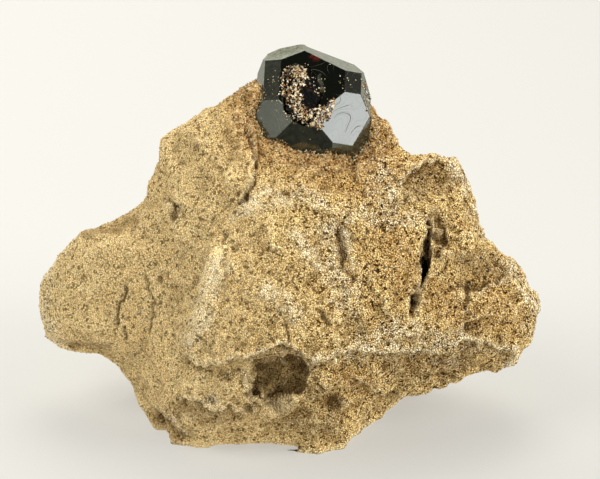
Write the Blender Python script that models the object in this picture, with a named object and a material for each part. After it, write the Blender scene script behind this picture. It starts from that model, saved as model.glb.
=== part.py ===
"""A black garnet crystal in its matrix, built at its real size.

The piece has three solids: the matrix (a broken lump of pale tan volcanic rock), the garnet that sits
in a socket at its summit, and the crust of small grains that lines the open pocket in the crystal's front.

Frame: metres, +Z up, -Y towards the display side, origin under the middle of the piece on the surface
that it stands on. Driving dimensions are in millimetres.
"""

import math
import random

import bmesh
import bpy
import numpy as np
from mathutils import Matrix, Vector, noise
from mathutils.bvhtree import BVHTree

MM = 0.001

# ---------------------------------------------------------------- how the lump was surveyed
# From its display side, looking down by DISPLAY_TILT from DISPLAY_DISTANCE. A sighted mark is
# (x, seen, y): place across and height in the display view, and the depth that it lies at.
DISPLAY_TILT = math.radians(25.0)
DISPLAY_DISTANCE = 450.0
DISPLAY_AIM = (1.3, 17.7)                   # the point (across, height) in the middle of the display view
RIGHT = Vector((1.0, 0.0, 0.0))
UPWARD = Vector((0.0, math.sin(DISPLAY_TILT), math.cos(DISPLAY_TILT)))
TOWARDS = Vector((0.0, -math.cos(DISPLAY_TILT), math.sin(DISPLAY_TILT)))

# ---------------------------------------------------------------- matrix: driving dimensions
STAR_CENTRE = Vector((0.0, -1.0, 14.0))     # every mark can be seen from here

OUTLINE = {
    "left of the crystal": [
        (-4.0, 35.0, 2.5), (-4.9, 33.6, 2.5), (-6.8, 32.7, 2.0), (-8.4, 32.1, 2.0), (-9.8, 31.3, 2.0),
        (-10.8, 30.3, 1.5), (-12.6, 29.4, 1.0), (-13.7, 28.5, 0.5), (-13.8, 26.9, 0.0),
        (-14.0, 24.9, -0.5), (-15.2, 23.1, 0.0), (-15.6, 21.0, 0.5),
    ],
    "left lobe": [
        (-16.8, 20.2, 1.0), (-18.9, 19.5, 1.5), (-20.1, 19.0, 1.5), (-22.4, 18.9, 1.5), (-23.6, 17.7, 1.5),
        (-25.2, 15.8, 2.0), (-26.4, 14.2, 1.5), (-27.0, 12.1, 1.0), (-26.9, 9.1, 0.0), (-26.4, 7.2, 0.0),
        (-25.2, 6.0, 0.0), (-23.4, 5.3, -0.5), (-22.2, 5.5, -0.5), (-20.3, 5.2, -1.0), (-19.2, 5.1, -1.5),
    ],
    "left flank of the foot": [
        (-18.4, 4.1, -1.5), (-17.3, 2.7, -1.5), (-16.3, 0.6, -2.0), (-15.6, -0.7, -3.5), (-14.5, -2.7, -6.4),
    ],
    "right flank of the foot": [
        (7.9, -2.6, -7.0), (9.1, -1.3, -6.4), (10.3, -0.5, -5.6), (10.9, 0.3, -5.6), (10.7, 0.9, -5.4),
    ],
    "right lobe": [
        (11.4, 1.2, -5.8), (12.2, 0.7, -6.5), (13.7, 1.0, -6.2), (16.6, 1.4, -5.5), (19.4, 3.0, -5.0),
        (22.6, 3.5, -4.0), (23.6, 4.4, -4.2), (24.3, 5.2, -4.5), (25.5, 6.6, -3.0), (26.5, 9.4, -2.5),
        (27.0, 11.6, -1.5), (26.5, 12.8, -0.5), (24.1, 15.2, 1.0), (22.3, 16.6, 1.5),
    ],
    "right shoulder": [
        (21.2, 17.5, 1.5), (20.8, 18.8, 1.0), (20.0, 21.7, 1.0), (19.1, 23.8, 1.5), (17.5, 25.5, 2.0),
        (15.8, 26.4, 2.5), (14.5, 26.7, 2.5), (12.9, 26.7, 2.0), (11.7, 28.0, 2.0), (10.4, 30.0, 2.5),
        (9.2, 31.0, 3.5),
    ],
}

FRONT = {
    "under the crystal": [
        (-3.9, 33.0, 0.8), (-3.6, 30.9, -0.3), (-3.0, 28.9, -1.8), (-1.9, 27.4, -3.0), (-0.4, 26.6, -3.6),
        (1.2, 26.5, -3.7), (3.8, 26.2, -3.4), (5.6, 25.8, -2.9), (7.2, 25.7, -2.2), (7.9, 26.8, -0.6),
        (8.6, 28.4, 0.8), (9.0, 30.2, 2.2), (-4.6, 27.6, -3.6), (-2.6, 25.9, -4.6), (1.4, 25.1, -5.0),
        (5.7, 24.6, -4.6), (9.4, 25.8, -1.8),
    ],
    "left plane": [
        (-9.4, 28.5, -2.0), (-6.2, 30.7, -1.2), (-4.6, 29.6, -1.8), (-11.6, 24.2, -3.4), (-7.8, 24.2, -5.6),
        (-4.0, 24.4, -6.8), (-5.3, 21.4, -8.4), (-12.1, 18.8, -6.0), (-8.3, 17.7, -9.2), (-13.7, 14.5, -7.0),
        (-10.5, 12.3, -10.4), (-14.8, 9.1, -7.6), (-11.6, 7.5, -10.8), (-15.9, 5.8, -6.4), (-13.2, 3.1, -9.4),
        (-14.9, 20.0, -3.0),
    ],
    "bruised ridge": [
        (-3.6, 21.2, -9.2), (-6.0, 19.0, -10.9), (-7.8, 15.8, -12.4), (-9.1, 12.3, -13.4),
        (-9.8, 8.5, -14.0), (-10.7, 6.2, -13.8),
    ],
    "front face": [
        (0.3, 23.1, -7.4), (4.6, 22.6, -7.0), (-1.8, 18.8, -10.6), (2.5, 17.7, -10.8), (6.3, 19.3, -8.8),
        (8.4, 16.6, -10.4), (-4.0, 13.4, -13.4), (1.4, 12.3, -13.6), (6.3, 12.3, -13.0), (10.6, 13.4, -11.2),
        (-6.2, 8.0, -14.8), (-0.8, 8.5, -15.2), (3.6, 8.0, -15.2), (8.4, 9.6, -13.8), (12.2, 9.1, -12.0),
    ],
    "ledge": [
        (-11.4, 5.7, -13.2), (-10.0, 5.0, -14.6), (-8.3, 4.2, -15.4), (-6.6, 4.6, -15.8), (-4.1, 5.1, -16.2),
        (-2.7, 5.4, -16.2), (-1.0, 6.2, -16.2), (0.1, 6.3, -16.0), (1.3, 5.6, -15.4), (3.1, 4.6, -15.8),
        (5.6, 5.2, -15.4), (9.1, 5.4, -14.2), (11.5, 5.8, -12.8), (14.0, 6.6, -11.8), (18.3, 6.4, -9.6),
        (20.6, 6.8, -8.2), (23.8, 5.6, -6.2),
    ],
    "white shelf": [
        (11.0, 8.3, -12.6), (14.1, 7.8, -11.8), (18.2, 7.6, -9.8),
    ],
    "under the ledge": [
        (-9.6, 3.6, -13.0), (-7.8, 2.9, -13.4), (-5.0, 3.5, -14.0), (3.4, 3.6, -14.4), (6.2, 3.9, -13.8),
        (9.2, 4.0, -12.4), (-10.4, 1.8, -12.6), (-7.4, 0.2, -13.2), (-4.4, 0.9, -13.4),
    ],
    "foot": [
        (-12.6, 1.0, -10.2), (-14.3, -0.7, -5.8), (-12.9, -2.2, -7.0), (-11.2, -1.2, -11.6),
        (-13.3, -0.3, -9.8), (-11.7, -2.2, -10.9), (-12.6, -4.0, -9.4), (-10.6, -3.2, -10.4),
        (-8.0, -1.0, -13.2), (-6.4, -2.0, -12.2),
        (-4.0, -1.2, -12.2), (-4.5, -3.6, -11.0), (-0.2, -0.6, -12.2), (-1.3, -3.6, -10.8),
        (2.5, 0.2, -13.2), (3.4, -3.0, -12.4), (5.4, -1.2, -11.6), (7.0, 1.6, -13.0), (8.8, 2.4, -12.4),
        (7.0, -2.0, -10.4), (9.6, 0.6, -9.0),
    ],
    "under the right lobe": [
        (11.7, 3.1, -9.6), (14.4, 4.2, -9.2), (17.6, 4.3, -7.8), (20.8, 5.0, -6.6), (12.2, 4.6, -11.2),
    ],
    "right shoulder": [
        (11.4, 26.0, -1.6), (12.2, 24.2, -3.6), (12.6, 22.6, -5.4), (14.4, 25.2, -0.2), (14.8, 23.6, -2.0),
        (16.8, 24.4, 0.6), (16.9, 22.8, -1.4), (18.5, 22.8, -0.8), (19.3, 20.8, -2.2), (15.0, 21.4, -5.2),
        (18.9, 19.4, -3.8), (9.6, 22.6, -5.2), (12.2, 20.0, -7.2), (9.5, 19.3, -8.4),
        (13.3, 16.6, -9.6), (17.0, 18.4, -6.0), (17.0, 15.6, -8.2), (19.6, 16.6, -4.8), (13.3, 12.3, -10.8),
        (16.5, 12.3, -9.6),
    ],
    "right lobe": [
        (19.2, 12.3, -6.2), (19.3, 9.1, -7.6), (21.6, 11.8, -7.2), (21.4, 9.6, -8.2), (24.1, 10.2, -5.8),
        (23.5, 7.5, -6.8), (22.4, 14.7, -0.6), (20.8, 14.0, -4.8), (23.4, 13.0, -4.2), (24.9, 13.4, -1.8),
        (25.7, 11.2, -3.8),
    ],
    "left lobe": [
        (-20.2, 17.2, -2.6), (-22.9, 15.6, -1.6), (-18.0, 16.6, -4.0), (-16.4, 18.3, -3.0),
        (-24.5, 12.3, -2.2), (-21.3, 12.3, -4.2), (-18.0, 12.3, -5.4), (-25.0, 8.5, -2.8),
        (-21.8, 8.5, -4.8), (-18.6, 8.0, -5.8), (-24.0, 6.9, -2.8), (-21.3, 6.8, -4.0),
        (-19.0, 6.4, -4.6), (-21.6, 6.1, -1.8),
    ],
}

# Marks on the hidden sides are plain (x, y, z).
BACK = {
    "behind the crystal": [
        (-3.5, 6.5, 35.2), (3.0, 9.8, 34.4), (8.2, 7.2, 33.0), (-8.5, 5.5, 32.2),
    ],
    "upper back": [
        (-12.5, 5.0, 27.5), (-6.0, 11.0, 28.5), (2.5, 13.0, 28.0), (10.0, 10.0, 26.5), (15.5, 6.5, 25.5),
    ],
    "middle": [
        (-15.5, 6.0, 21.0), (-10.5, 12.0, 20.0), (-2.5, 15.5, 19.5), (6.5, 15.0, 18.5), (13.5, 11.5, 18.5),
        (18.5, 6.5, 19.5),
    ],
    "left lobe": [
        (-20.0, 6.0, 18.5), (-24.0, 5.5, 15.0), (-25.5, 5.0, 11.0), (-21.0, 7.5, 10.5), (-22.0, 3.5, 7.2),
    ],
    "right lobe": [
        (22.0, 6.0, 15.0), (25.0, 4.0, 12.5), (24.0, 3.5, 7.8), (20.0, 7.5, 10.0), (19.5, 1.5, 4.8),
    ],
    "lower back": [
        (-16.0, 7.0, 9.5), (-9.0, 13.5, 9.0), (1.5, 15.5, 8.0), (9.5, 13.0, 8.0), (15.0, 8.0, 7.0),
    ],
}
# The foot runs on below the surface and is cut off flat there, which gives the face it stands on.
FOOTPRINT = [
    (-13.6, -4.0), (-12.6, -9.4), (-10.4, -10.0), (-1.0, -10.6), (3.2, -11.2), (5.4, -10.2), (7.6, -7.2),
    (8.8, -3.4), (9.6, 0.0), (8.2, 7.0), (2.0, 10.5), (-6.0, 9.5), (-12.5, 5.0), (-2.0, 0.0),
]
BELOW = -2.4

CHIP_MARKS = 420                            # places between the marks where the rock broke off uneven
CHIP_HEIGHT = 0.28
CHIP_SEED = 7
SURVEY_ROUNDS = 7                           # the fine grid that the surface is roughened on
LUMPS = ((7.0, 0.45), (3.0, 0.34), (1.5, 0.24))   # (size, height) of each scale of roughness
LUMPS_FROM = Vector((11.3, 4.7, 8.1))       # where in the endless noise this lump is taken from
CALM_SIDE = (-13.0, -5.0)                   # the left plane, to this x, is smoother than the rest
CALM = 0.55
MATRIX_FACES = 8300                         # faces kept for the lump

# Rounded hollows that the survey lines can't follow: the mark of each one's middle, its radii across, up
# and towards the display side, and how uneven it is.
CARVINGS = {
    "arch": ((-3.6, -4.7, -11.4), (5.4, 0.55, 4.0), 0.25),
    "right_notch": ((11.2, 1.0, -6.4), (0.8, 0.8, 2.4), 0.20),
    "crevice_side": ((16.8, 18.8, -6.6), (0.9, 1.9, 1.3), 0.25),
    "plane_pit": ((-12.6, 20.6, -4.8), (1.3, 0.9, 0.8), 0.25),
}
# The hollow under the ledge is a wedge that broke out along flat faces, deep at its steep left wall and
# shallow towards the lower right: its inner corners, and the corners that lie in the open in front of it.
WEDGE_HOLLOW = [
    (-3.5, 4.2, -10.8), (-3.8, 0.9, -11.4), (-0.3, 5.2, -11.8), (1.7, 3.9, -13.4), (1.2, 0.9, -13.0),
    (-1.6, -0.2, -12.0), (-4.1, 5.1, -19.0), (-4.3, 0.2, -18.0), (0.1, 6.2, -19.5), (3.0, 4.5, -18.5),
    (2.8, 0.6, -18.0), (-1.4, -1.0, -18.0),
]
# The crevice is a thin blade-shaped opening: its middle line in sighted marks, half width and depth.
CREVICE_LINE = [
    (14.9, 20.4, -5.6), (15.0, 18.6, -7.0), (15.0, 16.6, -8.2), (14.9, 14.8, -9.0), (14.4, 13.0, -9.8),
    (13.8, 11.3, -10.6),
]
CREVICE_HALF_WIDTH = 0.34                   # at its middle, and a sixth of that at its ends
CREVICE_DEPTH = 4.2                         # at its middle, and a third of that at its ends
CREVICE_ENDS = (0.17, 0.35)
CREVICE_MOUTH = 1.4                         # how much wider it is at the surface
CREVICE_CLEAR = 2.5                         # how far the blade that cuts it starts outside the rock
BALL_WAVE = 2.1                             # how fine the lumps of a rounded carving are
BALL_PLACE = 0.37                           # how much they differ from place to place

# ---------------------------------------------------------------- garnet: driving dimensions
CRYSTAL_SIGHTED = (2.75, 32.8, 3.0)         # its centre, as a sighted mark
CRYSTAL_LEAN = math.radians(7.3)            # the cube axis at the front leans up from the line of sight
CRYSTAL_ROLL = math.radians(42.3)           # and the crystal is rolled by this round it
TRAPEZOHEDRON = 6.90                        # centre to a {211} face that no corner below measures
DODECAHEDRON = 7.10                         # centre to a {110} face that no corner below measures
FRONT_FACE = ((2, 1, 1), 2.87)              # the front face, and how far it lies from the centre

# A crystal's face directions are fixed by its symmetry, so only the distances are free. They follow from
# its measured corners: (across, up) from the centre in the display view, and the three faces that meet.
CORNERS = [
    ((2.98, 0.87), (2, 1, -1), (2, 1, 1), (1, 1, 0)),
    ((4.96, 0.59), (2, 1, -1), (1, 1, 0), (1, 2, -1)),
    ((5.99, -1.94), (2, 1, -1), (1, 2, -1), (1, 1, -2)),
    ((4.29, -4.95), (2, 1, -1), (1, 1, -2), (1, 0, -1)),
    ((1.86, -4.76), (2, 1, -1), (1, 0, -1), (2, -1, -1)),
    ((-3.53, 0.03), (2, -1, 1), (1, 0, 1), (2, 1, 1)),
    ((-5.45, -0.06), (2, -1, 1), (1, 0, 1), (1, -1, 2)),
    ((-5.08, 4.20), (1, 0, 1), (1, -1, 2), (1, 1, 2)),
    ((-3.30, 4.20), (1, 0, 1), (1, 1, 2), (2, 1, 1)),
    ((-1.05, 5.00), (2, 1, 1), (1, 1, 2), (1, 2, 1)),
    ((3.27, 2.93), (2, 1, 1), (1, 2, 1), (1, 1, 0)),
    ((4.96, 2.79), (1, 2, 1), (1, 1, 0), (1, 2, -1)),
    ((-4.23, -4.42), (2, -1, 1), (2, -1, -1), (1, -1, 0)),
    ((-6.11, -1.89), (2, -1, 1), (1, -1, 2), (1, -2, 1)),
    ((0.26, -2.17), (2, 1, -1), (2, -1, -1), (2, 1, 1)),
    ((-2.00, -2.46), (2, -1, 1), (2, -1, -1), (2, 1, 1)),
    ((-0.86, 5.80), (1, 1, 2), (1, 2, 1), (-1, 2, 1)),
    ((-0.86, 5.80), (1, 1, 2), (1, 2, 1), (-1, 1, 2)),
    ((5.15, 3.21), (1, 2, 1), (1, 2, -1), (-1, 2, -1)),
    ((6.07, -1.43), (1, 2, -1), (1, 1, -2), (0, 1, -1)),
    ((-5.17, 4.31), (1, 1, 2), (1, -1, 2), (-1, -1, 2)),
    ((-6.02, 2.89), (1, -1, 2), (-1, -1, 2), (0, -1, 1)),
]
BLOCK = 30.0                                # the block that the crystal is cut from
SOCKET_GAP = 0.3

# The pocket is an open hollow in the front face: its centre (across, up, towards) from the crystal's, and
# its radii across, up and into that face.
POCKET_CENTRE = (-1.15, 0.65, 3.3)
POCKET_RADII = (2.15, 4.3, 2.3)
POCKET_ROUGH = 0.22
CRUST_GAP = 0.3
CRUST_BELOW_FACES = 0.3
CRUST_THICKNESS = 0.7
CRUST_HEAPED = (0.15, 0.9, 0.7)             # its hollow is moved by this, so it is thickest at the bottom


# ---------------------------------------------------------------- small helpers
def clear_scene():
    for obj in list(bpy.data.objects):
        bpy.data.objects.remove(obj)


def display_point(across, up, towards):
    return RIGHT * across + UPWARD * up + TOWARDS * towards


def sighted(x, seen, y):
    """The point at depth y that shows at (x, seen) in the display view."""
    eye = display_point(*DISPLAY_AIM, DISPLAY_DISTANCE)
    ray = display_point(x, seen, 0.0) - eye
    return eye + ray * ((y - eye.y) / ray.y)


def add_object(name, bm, hidden=False):
    """Puts a bmesh made in millimetres into the scene, in metres."""
    bmesh.ops.scale(bm, vec=(MM, MM, MM), verts=bm.verts)
    bmesh.ops.recalc_face_normals(bm, faces=bm.faces)
    mesh = bpy.data.meshes.new(name)
    bm.to_mesh(mesh)
    bm.free()
    obj = bpy.data.objects.new(name, mesh)
    bpy.context.scene.collection.objects.link(obj)
    if hidden:
        obj.hide_render = True
        obj.display_type = "WIRE"
    return obj


def cut(obj, cutter, operation="DIFFERENCE"):
    boolean = obj.modifiers.new(cutter.name, "BOOLEAN")
    boolean.operation = operation
    boolean.solver = "EXACT"
    boolean.object = cutter


def finish(obj, colour, roughness):
    material = bpy.data.materials.new(obj.name)
    material.use_nodes = True
    shader = material.node_tree.nodes["Principled BSDF"]
    shader.inputs["Base Color"].default_value = (*colour, 1.0)
    shader.inputs["Roughness"].default_value = roughness
    obj.data.materials.append(material)


def lumpy_ball(centre, axes, rough):
    """A ball stretched along three axes (vectors as long as its radii), with an uneven surface."""
    bm = bmesh.new()
    bmesh.ops.create_icosphere(bm, subdivisions=3, radius=1.0)
    for vert in bm.verts:
        way = vert.co.normalized()
        wobble = 1.0 + rough * noise.noise(way * BALL_WAVE + centre * BALL_PLACE)
        vert.co = centre + (axes[0] * way.x + axes[1] * way.y + axes[2] * way.z) * wobble
    return bm


# ---------------------------------------------------------------- matrix
def survey_marks():
    marks = [sighted(*mark) for group in (OUTLINE, FRONT) for marks in group.values() for mark in marks]
    marks += [Vector(mark) for group in BACK.values() for mark in group]
    marks += [Vector((x, y, BELOW)) for x, y in FOOTPRINT]
    return marks


def surface_through(marks):
    """A closed surface through the marks, each joined to its neighbours as seen from the centre."""
    bm = bmesh.new()
    for mark in marks:
        bm.verts.new((mark - STAR_CENTRE).normalized())
    bmesh.ops.convex_hull(bm, input=list(bm.verts))
    for vert, mark in zip(list(bm.verts), marks):
        vert.co = mark
    tree = BVHTree.FromBMesh(bm)
    bm.free()
    return tree


def out_to(surface, way):
    """Where a line from the centre meets a surface."""
    return surface.ray_cast(STAR_CENTRE, way)[0]


def chipped_surface():
    """The surveyed surface with more, uneven marks between the surveyed ones."""
    marks = survey_marks()
    plain = surface_through(marks)
    draw = random.Random(CHIP_SEED)
    for _ in range(CHIP_MARKS):
        way = Vector((draw.gauss(0, 1), draw.gauss(0, 1), draw.gauss(0, 1))).normalized()
        marks.append(out_to(plain, way) + way * draw.uniform(-CHIP_HEIGHT, CHIP_HEIGHT))
    return surface_through(marks)


def roughness_at(point):
    """How far the grainy surface stands proud of the plain one."""
    height = sum(amount * noise.noise(point / size + LUMPS_FROM) for size, amount in LUMPS)
    calm = min(1.0, max(0.0, (point.x - CALM_SIDE[0]) / (CALM_SIDE[1] - CALM_SIDE[0])))
    return height * (CALM + (1.0 - CALM) * calm)


def rough_lump():
    """The surface on a fine grid, roughened along lines from the centre, with few faces kept."""
    surface = chipped_surface()
    bm = bmesh.new()
    bmesh.ops.create_icosphere(bm, subdivisions=SURVEY_ROUNDS, radius=1.0)
    for vert in bm.verts:
        way = vert.co.normalized()
        place = out_to(surface, way)
        vert.co = place + way * roughness_at(place)
    obj = add_object("matrix_survey", bm)
    fewer = obj.modifiers.new("fewer faces", "DECIMATE")
    fewer.ratio = MATRIX_FACES / len(obj.data.polygons)
    graph = bpy.context.evaluated_depsgraph_get()
    result = bmesh.new()
    result.from_mesh(obj.evaluated_get(graph).to_mesh())
    bmesh.ops.scale(result, vec=(1 / MM, 1 / MM, 1 / MM), verts=result.verts)
    bpy.data.objects.remove(obj)
    return result


def crevice_blade():
    """A thin blade along the crevice's line, widest in its middle, from outside the rock to its depth."""
    line = [sighted(*mark) for mark in CREVICE_LINE]
    bm = bmesh.new()
    rings = []
    for index, point in enumerate(line):
        fullness = math.sin(math.pi * index / (len(line) - 1))
        width, depth = (
            full * (end + (1.0 - end) * fullness)
            for full, end in zip((CREVICE_HALF_WIDTH, CREVICE_DEPTH), CREVICE_ENDS))
        ahead = line[min(index + 1, len(line) - 1)] - line[max(index - 1, 0)]
        side = ahead.cross(TOWARDS).normalized() * width
        mouth = side * CREVICE_MOUTH
        outer = point + TOWARDS * CREVICE_CLEAR
        inner = point - TOWARDS * depth
        corners = (outer - mouth, outer + mouth, inner + side, inner - side)
        rings.append([bm.verts.new(corner) for corner in corners])
    for ring, following in zip(rings, rings[1:]):
        for corner in range(4):
            after = (corner + 1) % 4
            bm.faces.new((ring[corner], ring[after], following[after], following[corner]))
    bm.faces.new(rings[0])
    bm.faces.new(reversed(rings[-1]))
    return bm


def wedge():
    """The closed form with flat faces round the corners of the wedge that broke out."""
    bm = bmesh.new()
    for mark in WEDGE_HOLLOW:
        bm.verts.new(sighted(*mark))
    inside = bmesh.ops.convex_hull(bm, input=list(bm.verts))["geom_interior"]
    bmesh.ops.delete(bm, geom=inside, context="VERTS")
    return bm


def carving(mark, radii, rough):
    across, up, towards = radii
    return lumpy_ball(sighted(*mark), (RIGHT * across, UPWARD * up, TOWARDS * towards), rough)


def make_matrix():
    bm = rough_lump()
    geometry = list(bm.verts) + list(bm.edges) + list(bm.faces)
    rim = bmesh.ops.bisect_plane(
        bm, geom=geometry, plane_co=(0, 0, 0), plane_no=(0, 0, 1), clear_inner=True)["geom_cut"]
    bmesh.ops.holes_fill(bm, edges=[item for item in rim if isinstance(item, bmesh.types.BMEdge)])
    bmesh.ops.triangulate(bm, faces=[face for face in bm.faces if len(face.verts) > 3])
    matrix = add_object("matrix", bm)
    for name, form in CARVINGS.items():
        cut(matrix, add_object(name + "_cutter", carving(*form), hidden=True))
    cut(matrix, add_object("wedge_cutter", wedge(), hidden=True))
    cut(matrix, add_object("crevice_cutter", crevice_blade(), hidden=True))
    cut(matrix, add_object("socket_cutter", crystal_solid(SOCKET_GAP), hidden=True))
    return matrix


# ---------------------------------------------------------------- garnet
def crystal_axes():
    """The crystal's cube axes, as the columns of a turn from its Miller indices to the part's frame."""
    front = display_point(0.0, math.sin(CRYSTAL_LEAN), math.cos(CRYSTAL_LEAN))
    level = front.cross(RIGHT)
    rising = RIGHT * math.cos(CRYSTAL_ROLL) + level * math.sin(CRYSTAL_ROLL)
    return Matrix((front, rising, front.cross(rising))).transposed()


def face_normal(index):
    return (crystal_axes() @ Vector(index)).normalized()


def measured_distances():
    """Centre to each face that has a measured corner, as the best fit to all of the corners."""
    faces = sorted({face for _, *meeting in CORNERS for face in meeting})
    column = {face: place for place, face in enumerate(faces)}
    rows, values = [], []
    for seen, *meeting in CORNERS:
        planes = np.array([face_normal(face) for face in meeting])
        for direction, measure in zip((RIGHT, UPWARD), seen):
            row = np.zeros(len(faces))
            row[[column[face] for face in meeting]] = np.array(direction) @ np.linalg.inv(planes)
            rows.append(row)
            values.append(measure)
    known = np.zeros(len(faces))
    known[column[FRONT_FACE[0]]] = 1.0
    rows.append(known)
    values.append(FRONT_FACE[1])
    distances = np.linalg.lstsq(np.array(rows), np.array(values), rcond=None)[0]
    return {face: float(distances[column[face]]) for face in faces}


def face_distances():
    """Every face of the two forms, {211} and {110}, with its distance from the centre."""
    measured = measured_distances()
    steps = (-2, -1, 0, 1, 2)
    faces = {}
    for index in ((h, k, l) for h in steps for k in steps for l in steps):
        form = sorted(abs(step) for step in index)
        if form == [1, 1, 2]:
            faces[index] = measured.get(index, TRAPEZOHEDRON)
        elif form == [0, 1, 1]:
            faces[index] = measured.get(index, DODECAHEDRON)
    return faces


def crystal_solid(outset=0.0):
    """A block cut back along every crystal face, each moved out by outset."""
    bm = bmesh.new()
    bmesh.ops.create_cube(bm, size=BLOCK)
    for index, distance in face_distances().items():
        normal = face_normal(index)
        geometry = list(bm.verts) + list(bm.edges) + list(bm.faces)
        rim = bmesh.ops.bisect_plane(
            bm, geom=geometry, plane_co=normal * (distance + outset), plane_no=normal,
            clear_outer=True)["geom_cut"]
        edges = [item for item in rim if isinstance(item, bmesh.types.BMEdge)]
        if edges:
            bmesh.ops.contextual_create(bm, geom=edges)
    bmesh.ops.translate(bm, vec=sighted(*CRYSTAL_SIGHTED), verts=bm.verts)
    return bm


def pocket_solid(shrink, shift=(0.0, 0.0, 0.0)):
    """The uneven bowl that the pocket is cut with, smaller by shrink and moved by shift."""
    inward = face_normal(FRONT_FACE[0])
    along = inward.cross(RIGHT).normalized()
    axes = [axis * (radius - shrink) for axis, radius in zip((RIGHT, along, inward), POCKET_RADII)]
    centre = sighted(*CRYSTAL_SIGHTED) + display_point(*POCKET_CENTRE)
    bm = lumpy_ball(centre, axes, POCKET_ROUGH)
    bmesh.ops.translate(bm, vec=display_point(*shift), verts=bm.verts)
    return bm


def make_garnet():
    garnet = add_object("garnet", crystal_solid())
    cut(garnet, add_object("pocket_cutter", pocket_solid(0.0), hidden=True))
    return garnet


def make_crust():
    """The grains that line the pocket: the pocket's own shape, kept inside the faces and hollowed."""
    crust = add_object("pocket_crust", pocket_solid(CRUST_GAP))
    cut(crust, add_object("crust_limit", crystal_solid(-CRUST_BELOW_FACES), hidden=True), "INTERSECT")
    hollow = pocket_solid(CRUST_GAP + CRUST_THICKNESS, CRUST_HEAPED)
    cut(crust, add_object("crust_hollow", hollow, hidden=True))
    return crust


def centre_over_origin(obj):
    """Moves everything sideways, so that the middle of this object's box is over the origin."""
    graph = bpy.context.evaluated_depsgraph_get()
    corners = [Vector(corner) for corner in obj.evaluated_get(graph).bound_box]
    middle = (corners[0] + corners[6]) / 2
    for each in bpy.data.objects:
        each.location = (-middle.x, -middle.y, 0.0)


def main():
    clear_scene()
    matrix = make_matrix()
    finish(matrix, (0.50, 0.36, 0.17), 0.95)
    finish(make_garnet(), (0.02, 0.02, 0.015), 0.12)
    finish(make_crust(), (0.42, 0.30, 0.18), 0.7)
    centre_over_origin(matrix)


main()
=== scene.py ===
# %% [markdown]
# # A black garnet in its matrix
#
# The specimen is one dark, glassy garnet crystal that grew in a gas hole of a pale volcanic rock. When
# the rock was broken, the crystal stayed in its socket at the top of the lump. The front of the crystal
# has an open pocket, which is lined with small sparkling grains.
#
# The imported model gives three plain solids: the matrix, the garnet and the crust in its pocket. This
# script keeps their places and sizes, and makes the fine surface of each: rock grain, cracks, loose
# grains round the crystal, crisp crystal edges and a finish for every piece. All of it is mesh code and
# shader nodes, so nothing is painted by hand and nothing is read from a picture.

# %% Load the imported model
import math
import random

import bmesh
import bpy
import numpy as np
from mathutils import Matrix, Vector, noise
from mathutils.bvhtree import BVHTree
from mathutils.kdtree import KDTree


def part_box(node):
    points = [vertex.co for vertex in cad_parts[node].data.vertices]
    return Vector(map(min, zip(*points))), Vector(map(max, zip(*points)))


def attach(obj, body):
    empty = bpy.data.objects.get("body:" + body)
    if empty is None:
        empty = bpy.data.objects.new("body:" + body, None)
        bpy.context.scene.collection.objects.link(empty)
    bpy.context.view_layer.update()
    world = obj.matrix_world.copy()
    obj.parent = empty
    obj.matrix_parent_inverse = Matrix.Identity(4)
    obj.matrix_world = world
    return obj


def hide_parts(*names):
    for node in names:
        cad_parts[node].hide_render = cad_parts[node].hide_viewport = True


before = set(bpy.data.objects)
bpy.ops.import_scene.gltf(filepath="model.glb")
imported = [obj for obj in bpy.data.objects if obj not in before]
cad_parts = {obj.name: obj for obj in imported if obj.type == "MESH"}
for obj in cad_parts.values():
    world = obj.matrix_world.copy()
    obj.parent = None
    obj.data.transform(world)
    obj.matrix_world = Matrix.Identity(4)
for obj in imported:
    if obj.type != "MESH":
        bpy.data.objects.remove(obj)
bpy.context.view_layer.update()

MM = 0.001                                   # the scene is in metres, and the sizes here in millimetres
for name in sorted(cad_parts):
    low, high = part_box(name)
    print(name, "mm across:", [round(side / MM, 1) for side in high - low])

# %% [markdown]
# ## The display view
#
# A specimen is shown from one side, and every mark on its surface is easiest to name as it looks from
# there: how far across and how high up. The camera is a long lens that looks down a little, as a
# photographer would use for a small stone, so that the shape isn't stretched. The same three directions
# then serve twice: they aim the camera, and they let a later cell find the point of the rock that lies
# behind any mark of the view.

# %% Camera and display directions
TILT = math.radians(25.0)
DISTANCE = 450.0
AIM = (1.3, 17.7)                            # the point of the display plane in the middle of the picture
VIEW_WIDTH = 64.8                            # what the camera takes in at that distance
SENSOR = 36.0
RIGHT = Vector((1.0, 0.0, 0.0))
UPWARD = Vector((0.0, math.sin(TILT), math.cos(TILT)))
TOWARDS = Vector((0.0, -math.cos(TILT), math.sin(TILT)))
# The marks are measured from the point of the floor under this place of the garnet's middle.
GARNET_FROM_MARK_ORIGIN = Vector((2.59, 3.51, 0.0))


def middle_of(node):
    low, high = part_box(node)
    return (low + high) / (2 * MM)


garnet_middle = middle_of("garnet")
mark_origin = Vector((garnet_middle.x, garnet_middle.y, 0.0)) - GARNET_FROM_MARK_ORIGIN


def display_point(across, up, towards):
    return mark_origin + RIGHT * across + UPWARD * up + TOWARDS * towards


def link(obj):
    bpy.context.scene.collection.objects.link(obj)
    return obj


eye = display_point(*AIM, DISTANCE)
camera_data = bpy.data.cameras.new("display_camera")
camera_data.sensor_width = SENSOR
camera_data.lens = SENSOR * DISTANCE / VIEW_WIDTH
camera_data.clip_start = 0.01
camera = link(bpy.data.objects.new("display_camera", camera_data))
camera.matrix_world = Matrix((RIGHT, UPWARD, TOWARDS)).transposed().to_4x4()
camera.location = eye * MM
bpy.context.scene.camera = camera
print("lens", round(camera_data.lens), "mm, eye at", [round(part) for part in eye], "mm")

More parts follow.
